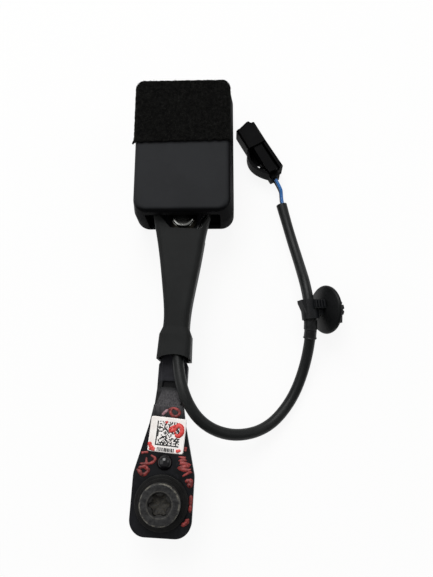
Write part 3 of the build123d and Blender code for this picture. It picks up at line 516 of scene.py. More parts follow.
coverLook = {
    "name": "housing abs, spark eroded",
    "dark": "#1f2022",
    "light": "#262729",
    "fleck": "#3a3935",
    "dirt": "#080809",  # painted shade on the faces turned down and to the right
    # how strong that painted shade is
    "dirtCover": 0.86,
    "seamColour": "#050506",
    "seam": 13.5,  # height of the joint between the covers
    "seamWidth": 0.22,
    "pits": 0.42,  # mm between the peaks of the eroded texture
    "depth": 0.05,
    "rough": (0.55, 0.66),
    "noises": {"patch": (16.0, 4.0, 0.5), "fine": (0.22, 2.0, 0.5), "speck": (0.6, 5.0, 0.75)},
    "specular": 0.09,
}


def paintCover(add, place, grain, look):
    # ABS from a spark-eroded mould: matt, with a fine even grain and a dark joint line, and painted shade on
    # the faces turned to the right and down, which also lowers their specular level
    cells = add("TexVoronoi", {"Vector": place, "Scale": 1 / (look["pits"] * mm)})
    height = add("SeparateXYZ", (place,), out=2)
    away = awayFrom(add, height, look["seam"] * mm)
    seam = add("MapRange", (away, 0.06 * mm, look["seamWidth"] * mm, 0.9, 0.0), **smooth)
    tone = add("MapRange", (grain["patch"], 0.3, 0.7), **smooth)
    fleck = add("MapRange", (grain["speck"], 0.64, 0.76, 0.0, 0.3), **smooth)
    # painted shade: faces turned to the right and down are darkened as if less light reached them
    facing = add("TexCoord", out="Normal")
    right, under = (add("SeparateXYZ", (facing,), out=axis) for axis in (0, 1))
    right = add("MapRange", (right, 0.35, 0.85), **smooth)
    under = add("MapRange", (under, -0.2, -0.7), **smooth)
    dirt = add("Math", (right, under), **largest)
    dirt = add("Math", (dirt, look["dirtCover"]), **times)
    colour = coloured(add, look, tone, (fleck, "fleck"), (dirt, "dirt"), (seam, "seamColour"))
    pitted = add("Math", (grain["fine"], 0.5, cells), **timesPlus)
    sunk, unshaded = (add("Math", (1.0, mask), **minus) for mask in (seam, dirt))
    normal = relief(add, (pitted, look["depth"], 0.45), (sunk, 0.25, 0.9))
    specular = add("Math", (unshaded, look["specular"]), **times)
    return {"Base Color": colour, "Normal": normal, specularLevel: specular}


made["cover"] = makeMaterial(paintCover, coverLook)


stalkLook = {
    "lean": 3.1,  # degrees to the right
    "plateTop": 18.5,
    "bendStart": 37.0,  # where the plate steps down to the neck
    "bendEnd": 45.0,
}
coatLook = {
    "name": "stalk steel, black electrocoat",
    "dark": "#0d0e10",
    "light": "#151619",
    "dust": "#26252b",
    "rub": "#504e50",
    # light streaks on the step: rubbed wear and a painted highlight
    "chip": "#6a6862",
    "haze": "#2c2c31",  # lighter, mottled colour on the neck past the step
    "shade": "#060607",  # painted shade beside the step and in the groove
    "rough": (0.4, 0.56),
    "streak": 0.45,  # width of the rubbed streaks on the step, which also carry a painted highlight, mm
    "facetHalf": 6.0,  # half width of the lighter step at its start; painted shade lies beside it
    "narrow": 0.34,  # how fast that narrows along the stalk
    "groove": 46.2,  # place of the pressed groove past the step, darkened with painted shade
    "noises": {
        "patch": (7.0, 5.0, 0.5),
        "peel": (1.6, 2.0, 0.5),
        "fine": (0.3, 3.0, 0.5),
        "cloud": (2.2, 6.0, 0.72),
        "speck": (0.8, 4.0, 0.8),
    },
    "shader": {specularLevel: 0.12},
}


def paintCoat(add, place, grain, look):
    # black electrocoat: orange peel, dust, a few chips to the steel, streaks rubbed on the step with a painted
    # highlight, and painted shade beside the step and in the groove
    lean = math.radians(stalkLook["lean"])
    turned = add("VectorRotate", {"Vector": place, "Angle": lean}, rotation_type="Z_AXIS")
    across, up = (add("SeparateXYZ", (turned,), out=axis) for axis in (0, 1))
    start, end, groove = stalkLook["bendStart"] * mm, stalkLook["bendEnd"] * mm, look["groove"] * mm
    low = add("MapRange", (up, start - 5.5 * mm, start + mm), **smooth)
    high = add("MapRange", (up, end - 2.2 * mm, end, 1.0, 0.0), **smooth)
    bend = add("Math", (low, high), **times)
    # rubbed streaks and a painted highlight on the sloped step
    drawn = add("VectorMath", (turned, (1.0, 0.12, 1.0)), **times)
    streaks = {"Vector": drawn, "Scale": 1 / (look["streak"] * mm), "Detail": 3.0, "Roughness": 0.7}
    lines = add("MapRange", (add("TexNoise", streaks), 0.36, 0.66, 0.25, 0.85), **smooth)
    rubbedHighlight = add("Math", (bend, lines), **times)
    # painted shade beside the step and in the pressed groove
    across = add("Math", (across,), **unsigned)
    spread = add("Math", (up, look["narrow"], across), **timesPlus)
    edge = look["facetHalf"] * mm + look["narrow"] * start
    shadeBeside = add("MapRange", (spread, edge - 0.4 * mm, edge + 0.4 * mm), **smooth)
    shadeBeside = add("Math", (shadeBeside, bend), **times)
    grooveShade = add("MapRange", (awayFrom(add, up, groove), 0.7 * mm, 1.5 * mm, 0.85, 0.0), **smooth)
    shaded = add("Math", (shadeBeside, grooveShade), **largest)
    # a lighter, mottled colour on the neck past the groove
    past = add("MapRange", (up, groove + mm, groove + 3 * mm), **smooth)
    lighterNeck = add("MapRange", (grain["cloud"], 0.3, 0.6, 0.35, 0.9))
    lighterNeck = add("Math", (past, lighterNeck), **times)
    dust = add("MapRange", (grain["cloud"], 0.5, 0.72, 0.0, 0.4), **smooth)
    chips = add("MapRange", (grain["speck"], 0.71, 0.74, 0.0, 0.6), **smooth)
    tone = add("MapRange", (grain["patch"], 0.3, 0.7), **smooth)
    layers = ((dust, "dust"), (lighterNeck, "haze"), (rubbedHighlight, "rub"), (shaded, "shade"), (chips, "chip"))
    rough = add("Math", (dust, 0.35, grain["rough"]), **timesPlus)
    normal = relief(add, (grain["peel"], 0.05, 0.35), (grain["fine"], 0.02, 0.3))
    return {"Base Color": coloured(add, look, tone, *layers), "Roughness": rough, "Normal": normal}


made["coat"] = makeMaterial(paintCoat, coatLook)


boltLook = {
    "name": "bolt steel, black zinc nickel",
    "dark": "#161617",
    "light": "#343434",
    # brown black: dirt and painted shade in the recess
    "dirt": "#12100c",
    "worn": "#77746a",
    "rimStart": 0.75,  # from the head's edge to where the wear starts, mm
    "lipWidth": 0.32,
    "headRadius": 8.0,
    "recessRadius": 4.9,
    "headTop": 25.75,
    "cutHeight": 13.05,  # the head and shoulder are one mesh above this, the thread another below
    "rough": (0.46, 0.62),
    "noises": {"patch": (1.7, 5.0, 0.65), "grit": (0.48, 3.0, 0.7), "broken": (2.6, 4.0, 0.7)},
    "shader": {"Metallic": 0.2, specularLevel: 0.3},
}


def paintBolt(add, place, grain, look):
    # black zinc-nickel on a cold-headed bolt, rubbed bright in spots on its rim and at the recess, with dirt
    # and painted shade down the recess walls
    height = add("SeparateXYZ", (place,), out=2)
    flat = add("VectorMath", (place, (1, 1, 0)), **times)
    radius = add("VectorMath", (flat,), out=1, operation="LENGTH")
    start = (look["headRadius"] - look["rimStart"]) * mm
    recess, top = look["recessRadius"] * mm, look["headTop"] * mm
    wobble = add("Math", (grain["patch"], -0.5), **plus)
    edge = add("Math", (wobble, 0.7 * mm, radius), **timesPlus)
    rim = add("MapRange", (edge, start, start + 0.35 * mm), **smooth)
    broken = add("MapRange", (grain["broken"], 0.38, 0.6), **smooth)
    rim = add("Math", (rim, broken), **times)
    away = awayFrom(add, edge, recess + 0.1 * mm)
    lip = add("MapRange", (away, 0.1 * mm, look["lipWidth"] * mm, 0.22, 0.0), **smooth)
    worn = add("Math", (rim, lip), **largest)
    high = add("MapRange", (height, top - mm, top - 0.4 * mm), **smooth)
    gritty = add("MapRange", (grain["grit"], 0.3, 0.62, 0.2, 1.0))
    for mask in (high, gritty):
        worn = add("Math", (worn, mask), **times)
    mottle = add("Math", (grain["grit"], 0.6, grain["patch"]), **timesPlus)
    tone = add("MapRange", (mottle, 0.6, 1.0), **smooth)
    # dirt and painted shade: the recess walls darken towards its floor
    inside = add("MapRange", (radius, recess - 0.25 * mm, recess, 1.0, 0.0))
    deep = add("MapRange", (height, top - 0.9 * mm, top - 0.2 * mm, 0.9, 0.0))
    dirt = add("Math", (inside, deep), **times)
    colour = coloured(add, look, tone, (worn, "worn"), (dirt, "dirt"))
    return {"Base Color": colour, "Normal": relief(add, (grain["grit"], 0.03, 0.6))}


made["bolt"] = makeMaterial(paintBolt, boltLook)


def feltShades(name, dark, light, sheen):
    look = {"name": name, "dark": dark, "light": light}
    look["noises"] = {"tufts": (1.5, 5.0, 0.7), "fibre": (0.35, 4.0, 0.75)}
    look["shader"] = {"Roughness": 0.95, specularLevel: 0.05, "Sheen Roughness": 0.6}
    look["shader"] |= {"Sheen Weight": sheen, "Sheen Tint": linear("#8a8a86")}
    return look


def paintFelt(add, place, grain, look):
    # needle felt: no gloss, tufts a little lighter than the gaps between them
    both = add("Math", (grain["tufts"], 1.4, grain["fibre"]), **timesPlus)
    tone = add("MapRange", (both, 0.95, 1.5), **smooth)
    normal = relief(add, (grain["tufts"], 0.5, 0.6), (grain["fibre"], 0.25, 0.7))
    return {"Base Color": coloured(add, look, tone), "Normal": normal}


made["felt"] = makeMaterial(paintFelt, feltShades("needle felt, polyester", "#040404", "#131312", 0.03))
made["fibre"] = makeMaterial(paintFelt, feltShades("loose felt fibre, polyester", "#0a0a0a", "#2c2c2a", 0.05))


markers = {  # name, dark and light ink, the surface under it, how much of that shows
    "markSteel": ("paint marker on electrocoat", "#6a2321", "#9c3a37", "#1c181a", 0.41),
    "markPale": ("paint marker, dried pale", "#8a6168", "#b9959c", "#2b2629", 0.4),
    "markFilm": ("paint marker on label film", "#cf3833", "#e2544f", "#eeb9b4", 0.34),
}


def paintMarker(add, place, grain, look):
    # dry paint marker: the surface shows through where the ink broke up
    mask = add("MapRange", (grain["breaks"], look["cover"] - 0.08, look["cover"] + 0.05), **smooth)
    ink = coloured(add, look, add("MapRange", (grain["tones"], 0.36, 0.64), **smooth))
    colour = add("Mix", {0: mask, 6: linear(look["under"]), 7: ink}, **colours)
    rough = add("MapRange", (grain["breaks"], 0.3, 0.7, 0.4, 0.6))
    return {"Base Color": colour, "Roughness": rough, "Normal": relief(add, (mask, 0.03, 0.6))}


for key, row in markers.items():
    look = dict(zip(("name", "dark", "light", "under", "cover"), row))
    look["noises"] = {"breaks": (0.9, 6.0, 0.75), "tones": (2.0, 4.0, 0.5)}
    made[key] = makeMaterial(paintMarker, look)
print("materials done")


def makeCable(look, clip):
    # the sleeving as a tube along the line: pressed oval, creased at the clip, flared and open at the end
    places = framesAlong(cableLine)
    below = clipMiddle - (clip["length"] / 2 + clip["clearance"] + clip["tapeLength"]) * mm

    def radiusAt(distance, index):
        wave = noise.noise(Vector((index * look["waves"], 3.1, 0.0)))
        away = abs(distance - clipMiddle) - clip["length"] / 2 * mm
        held = min(1.0, max(0.0, away / (clip["hold"] * mm)))
        if below - 1.0 * mm < distance < clipMiddle:
            held = 0.0
        wide = max(0.0, 1.0 - (cableLength - distance) / (look["flareLength"] * mm))
        fold = 0.0
        if distance > clipMiddle and away > 0:
            fold = max(0.0, 1.0 - abs(away - clip["creaseFrom"] * mm) / (clip["creaseLength"] * mm))

        def radius(angle):
            oval = look["flatten"] * wave * held * math.cos(2 * angle - index * look["twist"])
            folds = [share * math.exp(-(((angle - at) / spread) ** 2)) for at, spread, share in clip["creases"]]
            return look["radius"] * (1.0 + oval) + look["flare"] * wide**2 - clip["crease"] * fold * sum(folds)

        return radius

    rings = [ringAt(place, look["sides"], radiusAt(cableLengths[i], i)) for i, place in enumerate(places)]
    edge = look["radius"] + look["flare"] - look["edge"]
    rings.append(ringAt(places[-1], look["sides"], lambda angle: edge))
    for i in range(int(look["boreDepth"] / look["step"])):
        bore = look["bore"] + (0.05 if i == 0 else 0.0)
        rings.append(ringAt(places[-1 - i], look["sides"], lambda angle: bore))
    obj = newObject("cableTube", joinRings(rings), "tube", "stalk", "tube_pvc")
    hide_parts("cable_tube")
    return obj


cableLine = resample(splinePoints("cableLine", cableLook["route"]), cableLook["step"] * mm)
cableLengths = alongLine(cableLine)
cableLength = cableLengths[-1]
clipPlace = sum((Vector(cableLook["route"][i]) for i in clipLook["between"]), Vector()) / 2 * mm
clipMiddle = min(((point - clipPlace).length, distance) for point, distance in zip(cableLine, cableLengths))[1]
cable = makeCable(cableLook, clipLook)
print("cable done, length in m:", round(cableLength, 4))


# shapes that several pieces share


def readMesh(mesh, merge):
    # vertices nearer than merge, in mm, become one
    bm = bmesh.new()
    bm.from_mesh(mesh)
    bmesh.ops.remove_doubles(bm, verts=bm.verts, dist=merge * mm)
    return bm


def mergedCopy(node):
    return readMesh(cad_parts[node].data, 0.001)


def softened(node, name, body, material, width=0.18, segments=2, cutBelow=None):
    # the part's own surface with its sharp edges eased, as a new piece
    bm = mergedCopy(node)
    if cutBelow is not None:
        everything = bm.verts[:] + bm.edges[:] + bm.faces[:]
        plane = {"plane_co": (0, 0, cutBelow * mm), "plane_no": (0, 0, 1)}
        cut = bmesh.ops.bisect_plane(bm, geom=everything, clear_inner=True, **plane)
        bmesh.ops.holes_fill(bm, edges=[e for e in cut["geom_cut"] if isinstance(e, bmesh.types.BMEdge)])
    bmesh.ops.dissolve_limit(bm, angle_limit=math.radians(1.0), verts=bm.verts, edges=bm.edges)
    bmesh.ops.triangulate(bm, faces=[f for f in bm.faces if len(f.verts) > 4])
    obj = newObject(name, bm, material, body)
    easing = obj.modifiers.new("eased edges", "BEVEL")
    easing.width = width * mm
    easing.segments = segments
    easing.limit_method = "ANGLE"
    easing.angle_limit = math.radians(32)
    easing.miter_outer = "MITER_ARC"
    weighted = obj.modifiers.new("face normals", "WEIGHTED_NORMAL")
    weighted.keep_sharp = True
    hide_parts(node)
    return obj


dressed = {  # the part's own solids, by material
    "cover": ("front_cover", "rear_cover"),
    "sleeve": ("stalk_sleeve",),
    "frame": ("buckle_frame", "latch"),
    "acetal": ("tongue_guide", "ejector", "switch_housing"),
    "button": ("release_button",),
    "rivet": ("lock_bar", "pivot_rivet"),
    "ring": ("pivot_washer",),
    "magnet": ("sensor_magnet",),
    "board": ("switch_board",),
    "sensor": ("hall_sensor",),
    "leads": ("switch_leads",),
    "retainer": ("retaining_ring",),
    "terminal": ("terminals",),
    "rubber": ("wire_seals",),
    "connector": ("terminal_retainer",),
    "washer": ("wave_washer",),
}
for key, nodes in dressed.items():
    for node in nodes:
        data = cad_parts[node].data
        data.materials.clear()
        data.materials.append(made[key])

softened("anchor_stalk", "anchorStalk", "stalk", "coat", 0.3, 3)
softened("locating_stud", "locatingStud", "stalk", "stud", 0.12)
softened("flat_washer", "flatWasher", "bolt", "washer", 0.1)
clipPiece = softened("cable_clip", "cableClip", "stalk", "nylon", 0.15)
discPiece = softened("seal_disc", "sealDisc", "stalk", "rubber", 0.3, 3)
housingPiece = softened("connector_housing", "connectorHousing", "stalk", "connector", 0.2)
leverPiece = softened("connector_lever", "connectorLever", "lever", "connector", 0.15)
print("softened pieces done")


springLook = [  # name, node, joint, travel in mm
    ("buttonSprings", "button_springs", "button_press", 6.0),
    ("ejectorSpring", "ejector_spring", "ejector_slide", 10.0),
]


def makeSprings(look):
    # each spring as its own copy of the part's coils
    for name, node, joint, travel in look:
        spring = newObject(name, mergedCopy(node), "spring", "head", "spring_steel")
        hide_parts(node)
        low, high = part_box(node)
        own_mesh(spring)


makeSprings(springLook)
print("springs done")


finLook = {
    "places": (12.0, 13.7, 15.4),  # along the stem from the sleeving's axis
    "radius": (5.3, 4.9, 4.3),
    "root": 1.6,
    "thick": 0.7,
    "sides": 72,
    "notches": 9,
    "notch": 0.24,  # depth of the notches, as a share of the radius
}


def makeFins(look):
    # thin notched collars on the clip's stem, behind the seal
    route = [Vector(cableLook["route"][i]) for i in clipLook["between"]]
    along = (route[1] - route[0]).normalized()
    tilt = math.radians(clipLook["tilt"])
    stem = Vector((math.cos(tilt), 0, -math.sin(tilt)))
    stem = (stem - along * stem.dot(along)).normalized()
    bm = bmesh.new()

    def root(angle):
        return look["root"]

    for place, reach in zip(look["places"], look["radius"]):

        def rim(angle):
            return reach * (1 - look["notch"] * max(0.0, math.cos(angle * look["notches"] + place)) ** 3)

        rings = []
        for side, radius in ((-1, root), (-1, rim), (1, rim), (1, root)):
            centre = clipPlace + stem * (place + side * look["thick"] / 2) * mm
            rings.append(ringAt((centre, stem, along, stem.cross(along)), look["sides"], radius))
        joinRings(rings, bm=bm)
    return newObject("stemFins", bm, "nylon", "stalk", "clip_nylon")


finPiece = makeFins(finLook)


def makeTape(look):
    # turns of tape under the clip, each a little proud of the next, wrinkled
    top = clipMiddle - (look["length"] / 2 + look["clearance"]) * mm
    bottom = top - look["tapeLength"] * mm
    steps, sides = 64, 40
    height, often, along = look["tapeWrinkle"]
    fine = [pointAt(cableLine, cableLengths, bottom + (top - bottom) * i / steps) for i in range(steps + 1)]
    places = framesAlong(fine)
    inner = cableLook["radius"] - 0.02
    rings = [ringAt(places[0], sides, lambda angle: inner)]
    for i, place in enumerate(places):
        down = look["tapeLength"] * (1 - i / steps)
        turns = sum(down > edge for edge in look["tapeEdges"])
        rise = look["tapeThick"] * (1.0 if turns % 2 else look["tapeLower"])
        edge = min(abs(down - e) for e in look["tapeEdges"])
        rise += look["tapeLip"] * math.exp(-((edge / look["tapeLipWidth"]) ** 2))

        def radius(angle):
            wave = noise.noise(Vector((math.cos(angle) * often, math.sin(angle) * often, i * along)))
            return cableLook["radius"] + rise + height * wave

        rings.append(ringAt(place, sides, radius))
    rings.append(ringAt(places[-1], sides, lambda angle: inner))
    rings += [ringAt(place, sides, lambda angle: inner - 0.03) for place in reversed(places[4:-4:8])]
    obj = newObject("cableTape", joinRings(rings, closed=True), "tape", "stalk", "tape")
    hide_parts("tape_wrap")
    return obj


tapePiece = makeTape(clipLook)


wireLook = {
    "plug": (49.5, 147.8),
    "turn": 28.5,
    "radius": 0.8,
    "inside": 7.7,  # how far the wires reach into the sleeving
    "bow": (52.7, 138.2),
    "reach": 7.0,  # how far they run straight on each side of the plug's place
    "wires": [  # name, node, material, slot, place in the sleeving across and up, height in the connector
        ("signalWire", "signal_wire", "blue", "wire_blue", (0.35, 0.84), 4.5),
        ("returnWire", "return_wire", "black", "wire_black", (0.3, -0.84), 1.8),
    ],
}


def makeWires(look):
    turn = math.radians(look["turn"])
    way = Vector((-math.sin(turn), math.cos(turn), 0))
    plug = Vector((*look["plug"], 0))
    end = Vector(cableLook["route"][-1])
    along = (end - Vector(cableLook["route"][-2])).normalized()
    across = Vector((along.y, -along.x, 0))
    wires = []
    for name, node, material, slotName, place, height in look["wires"]:
        aside = across * place[0] + Vector((0, 0, place[1]))
        route = [end - along * look["inside"] + aside, end + along * 1.0 + aside]
        route.append(Vector((*look["bow"], end.z)) + aside * 1.1)
        route += [plug + way * side * look["reach"] + Vector((0, 0, height)) for side in (-1, 1)]
        obj = splineLine(name, route, look["radius"])
        obj.data.materials.append(made[material])
        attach(obj, "stalk")
        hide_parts(node)
        wires.append(obj)
    return wires


wirePieces = makeWires(wireLook)
print("tape and wires done")


threadLook = {
    "radius": 5.0,
    "pitch": 1.5,
    "depth": 0.85,
    "start": 1.0,
    "tip": 3.75,  # radius of the bolt's lower end
    "neck": 4.25,  # radius where the thread runs out
    "runOut": 1.4,  # length of that
    "leadIn": 0.9,
    "halfGroove": 0.42,  # half the groove's width over the pitch
    "steps": 48,  # round the thread
    "perPitch": 8,
}


def makeThread(look, end):
    # rings up the bolt, each with the groove's depth where the helix passes
    count = int((end - look["start"]) / look["pitch"] * look["perPitch"])
    rings = [levelRing(0.02, look["steps"], lambda angle: look["tip"])]
    for i in range(count + 1):
        z = look["start"] + (end - look["start"]) * i / count
        runOut = max(0.0, 1.0 - (end - z) / look["runOut"])
        leadIn = max(0.0, 1.0 - (z - look["start"]) / look["leadIn"])

        def radius(angle):
            turn = (z / look["pitch"] - angle / math.tau) % 1.0
            groove = max(0.0, 1.0 - abs(turn - 0.5) / look["halfGroove"])
            cut = look["radius"] - look["depth"] * max(groove, leadIn)
            return cut * (1 - runOut) + look["neck"] * runOut

        rings.append(levelRing(z, look["steps"], radius))
    newObject("boltThread", joinRings(rings), "bolt", "bolt", "zinc_nickel")


grimeLook = {
    "floor": 22.36,  # height of the recess's floor
    "thick": 0.55,
    "rim": 0.8,  # thickness at its edge, as a share
    "bulge": 1.5,
    "shares": (0.05, 0.25, 0.5, 0.72, 0.88, 0.97, 1.0),  # its rings, as shares of its outline
    "sides": 72,
    "centre": 3.45,  # radius at which the six lobes are centred
    "lobe": 0.95,
    "gap": 0.04,
    "lumps": (0.16, 0.9),  # height and frequency per mm
}


def makeGrime(look):
    # a lumpy star-shaped plug of dirt on the floor of the bolt's recess
    lumpHeight, often = look["lumps"]

    def outline(angle):
        near = (angle + math.pi / 6) % (math.pi / 3) - math.pi / 6
        reach = look["centre"] * math.sin(near)
        if abs(reach) >= look["lobe"]:
            return look["centre"] - look["gap"]
        far = look["centre"] * math.cos(near) + math.sqrt(look["lobe"] ** 2 - reach**2)
        return max(far, look["centre"]) - look["gap"]

    def ring(share, z):
        return levelRing(z, look["sides"], lambda angle: outline(angle) * share)

    def lump(point):
        return lumpHeight * noise.noise(point / mm * often)

    rings = [ring(share, look["floor"] + 0.02) for share in look["shares"]]
    for share in reversed(look["shares"]):
        rise = look["thick"] + look["bulge"] * share**3 if share < 1.0 else look["thick"] * look["rim"]
        rings.append([p + Vector((0, 0, lump(p) * mm)) for p in ring(share, look["floor"] + rise)])
    newObject("socketGrime", joinRings(rings), "grime", "bolt", "zinc_nickel")


softened("anchor_bolt", "anchorBolt", "bolt", "bolt", 0.12, 2, boltLook["cutHeight"])
makeThread(threadLook, boltLook["cutHeight"])
makeGrime(grimeLook)
print("bolt done")


pivot = Vector((6.592, 121.722, 0.0))
padLook = {
    "flat": (0.0448, 0.0318),
    "start": 32.1,  # lower edge, from the pivot
    "end": 63.9,
    "half": 22.59,
    "voxel": 0.4,
    "rags": [(0.4, 0.45, 4.0), (0.24, 1.6, 9.0)],  # height, frequency and seed of the uneven edges
    "lowReach": 2.5,  # how far up from the lower edge they reach, and down from the upper
    "highReach": 2.0,
    "lumps": [(0.16, 0.9), (0.06, 3.0)],  # height and frequency per mm
    "tuft": 0.9,  # how far the lower left corner stands out
    "tuftWidth": 2.2,
    "slope": 0.7,  # how much higher the lower edge is at its right end
    "draw": 0.45,  # how far the right side is pressed in
    "reach": 22.2,  # fibres stop short of the sides and the top
    "seed": 11,
    "fibres": 6800,
    "fibreLength": (0.5, 1.6),
    "fibreThick": (0.03, 0.055),
    "fibreBend": 0.35,
    "fibreStand": (0.02, 0.28),  # how high their middles stand
}


def makeFelt(look):
    # the pad's own shape remeshed fine, softened, made lumpy, with an uneven lower edge
    rough = addObject("felt", meshFrom("felt", mergedCopy("felt_pad")))
    remesh = rough.modifiers.new("even faces", "REMESH")
    remesh.mode = "VOXEL"
    remesh.voxel_size = look["voxel"] * mm
    graph = bpy.context.evaluated_depsgraph_get()
    bm = bmesh.new()
    bm.from_mesh(bpy.data.meshes.new_from_object(rough.evaluated_get(graph)))
    bpy.data.objects.remove(rough)
    bmesh.ops.smooth_vert(bm, verts=bm.verts, factor=0.5, use_axis_x=True, use_axis_y=True, use_axis_z=True)
    bm.normal_update()
    for v in bm.verts:
        place = v.co / mm - pivot
        rise = sum(height * noise.noise(place * often) for height, often in look["lumps"])
        if v.normal.z < -0.3:
            rise = 0.0
        shift = v.normal * rise
        low = max(0.0, 1.0 - (place.y - look["start"]) / look["lowReach"])
        high = max(0.0, 1.0 - (look["end"] - place.y) / look["highReach"])
        rag = sum(deep * noise.noise(Vector((place.x * often, 0, seed))) for deep, often, seed in look["rags"])
        shift.y += rag * (low - 0.3 * high)
        corner = low * max(0.0, 1.0 - (place.x + look["half"]) / look["tuftWidth"])
        shift.x -= look["tuft"] * corner
        shift.y += look["slope"] * low * (place.x / look["half"] + 1) / 2
        if v.normal.x > 0.3:
            shift.x -= look["draw"]
        v.co += shift * mm
    felt = newObject("feltPad", bm, "felt", "head", "felt")
    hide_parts("felt_pad")
    return felt


def makeFibres(look, felt):
    # loose fibres that lie over the pad, as one curve of short lines, made a mesh
    random.seed(look["seed"])
    faces = [f for f in felt.data.polygons if f.normal.z > -0.2]
    weights = [f.area for f in faces]
    data = bpy.data.curves.new("fibreLines", "CURVE")
    data.dimensions = "3D"
    for face in random.choices(faces, weights, k=look["fibres"]):
        normal = face.normal
        side = normal.orthogonal().normalized()
        angle = random.uniform(0, math.tau)
        heading = side * math.cos(angle) + normal.cross(side) * math.sin(angle)
        length = random.uniform(*look["fibreLength"])
        thick = random.uniform(*look["fibreThick"])
        bend = heading.cross(normal) * random.uniform(-look["fibreBend"], look["fibreBend"])
        stand = random.uniform(*look["fibreStand"])
        tip = (face.center + heading * length * mm) / mm - pivot
        if abs(tip.x) > look["reach"] or tip.y > look["end"] - 0.2:
            continue
        spline = data.splines.new("POLY")
        spline.points.add(3)
        for k, point in enumerate(spline.points):
            q = k / 3
            lift = normal * (stand * math.sin(q * math.pi) + 0.02)
            place = face.center + (heading * (length * q) + bend * (q * q) + lift) * mm
            point.co = (*place, 1.0)
            point.radius = thick * (1.0 - 0.6 * q)
    data.bevel_depth = mm
    data.bevel_resolution = 0
    data.use_fill_caps = True
    lines = addObject("fibreLines", data)
    bm = readMesh(bpy.data.meshes.new_from_object(lines), 0.0005)
    bpy.data.objects.remove(lines)
    return newObject("feltFibres", bm, "fibre", "head", "felt")


feltPiece = makeFelt(padLook)
makeFibres(padLook, feltPiece)
print("felt done")


lean = Matrix.Rotation(math.radians(-stalkLook["lean"]), 4, "Z")
labelLook = {
    "width": 14.7,
    "height": 13.9,
    "reach": 25.9,  # from the bolt to the label's middle
    "aside": 0.3,
    "turn": 3.2,
    "thick": 0.15,
    "corner": 0.9,
    "parts": 30,
    "seed": 5,
    "modules": 20,
    "module": 0.487,
    "codePlace": (0.3, 0.45),
    "filled": 0.52,  # share of the squares that are dark
    "inkThick": 0.012,
    "lift": 0.352,  # how steeply the peeling corner rises
    "liftFrom": 0.62,  # how far out that starts
    "wrinkle": (0.015, 0.6),  # height and frequency per mm
    "barsPlace": (-3.5, 3.5, -6.6, -5.15),  # left, right, low, high
    "bars": (0.3, 0.42, 0.56),
    "barGaps": (0.1, 0.16, 0.24),
}
labelPlace = (
    lean
    @ Matrix.Translation(Vector((labelLook["aside"], labelLook["reach"], stalkLook["plateTop"])) * mm)
    @ Matrix.Rotation(math.radians(-labelLook["turn"]), 4, "Z")
)


def labelHeight(x, y):
    # the film's rise above the plate: one corner lifts a little
    far = x / labelLook["width"] + y / labelLook["height"] - labelLook["liftFrom"]
    height, often = labelLook["wrinkle"]
    wrinkle = height * noise.noise(Vector((x * often, y * often, 1.0)))
    return labelLook["lift"] * max(0.0, far) + wrinkle + 0.02


def makeLabel(look):
    bm = bmesh.new()
    bmesh.ops.create_grid(bm, x_segments=look["parts"], y_segments=look["parts"], size=1.0)
    halfWidth, halfHeight = look["width"] / 2, look["height"] / 2
    ax, ay = halfWidth - look["corner"], halfHeight - look["corner"]
    for v in bm.verts:
        x, y = v.co.x * halfWidth, v.co.y * halfHeight
        dx, dy = abs(x) - ax, abs(y) - ay
        if dx > 0 and dy > 0:
            share = max(dx, dy) / math.hypot(dx, dy)
            x, y = math.copysign(ax + dx * share, x), math.copysign(ay + dy * share, y)
        v.co = Vector((x, y, labelHeight(x, y))) * mm
    bm.normal_update()
    lower = min(v.co.z for v in bm.verts)
    bmesh.ops.solidify(bm, geom=bm.faces[:], thickness=-look["thick"] * mm)
    if min(v.co.z for v in bm.verts) < lower - 0.01 * mm:
        bmesh.ops.translate(bm, vec=(0, 0, look["thick"] * mm), verts=bm.verts)
    bmesh.ops.transform(bm, matrix=labelPlace, verts=bm.verts)
    film = newObject("labelFilm", bm, "film", "stalk", "paper_label")
    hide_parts("label")


def block(bm, low, high):
    cube = bmesh.ops.create_cube(bm, size=1.0)
    middle, size = (Vector(low) + Vector(high)) / 2, Vector(high) - Vector(low)
    matrix = Matrix.Translation(middle * mm) @ Matrix.Diagonal((*(size * mm), 1.0))
    bmesh.ops.transform(bm, matrix=matrix, verts=cube["verts"])


def printBlock(bm, x, y, wide, tall):
    z = labelHeight(x, y) + labelLook["thick"]
    block(bm, (x, y, z - 0.02), (x + wide, y + tall, z + labelLook["inkThick"]))


def makePrint(look):
    # a block of random squares and a strip of bars: they stand for no number
    random.seed(look["seed"])
    bm = bmesh.new()
    size, last = look["module"], look["modules"] - 1
    for j in range(look["modules"]):
        for i in range(look["modules"]):
            edge = i == 0 or j == 0
            timing = (i == last and j % 2 == 0) or (j == last and i % 2 == 0)
            inside = i < last and j < last and random.random() < look["filled"]
            if edge or timing or inside:
                x = look["codePlace"][0] + (i - look["modules"] / 2) * size
                y = look["codePlace"][1] + (j - look["modules"] / 2) * size
                printBlock(bm, x, y, size * 1.02, size * 1.02)
    left, right, low, high = look["barsPlace"]
    x = left
    while x < right:
        wide = random.choice(look["bars"])
        printBlock(bm, x, low, wide, high - low)
        x += wide + random.choice(look["barGaps"])
    bmesh.ops.transform(bm, matrix=labelPlace, verts=bm.verts)
    newObject("labelPrint", bm, "ink", "stalk", "paper_label", shadeSmooth=False)


makeLabel(labelLook)
makePrint(labelLook)


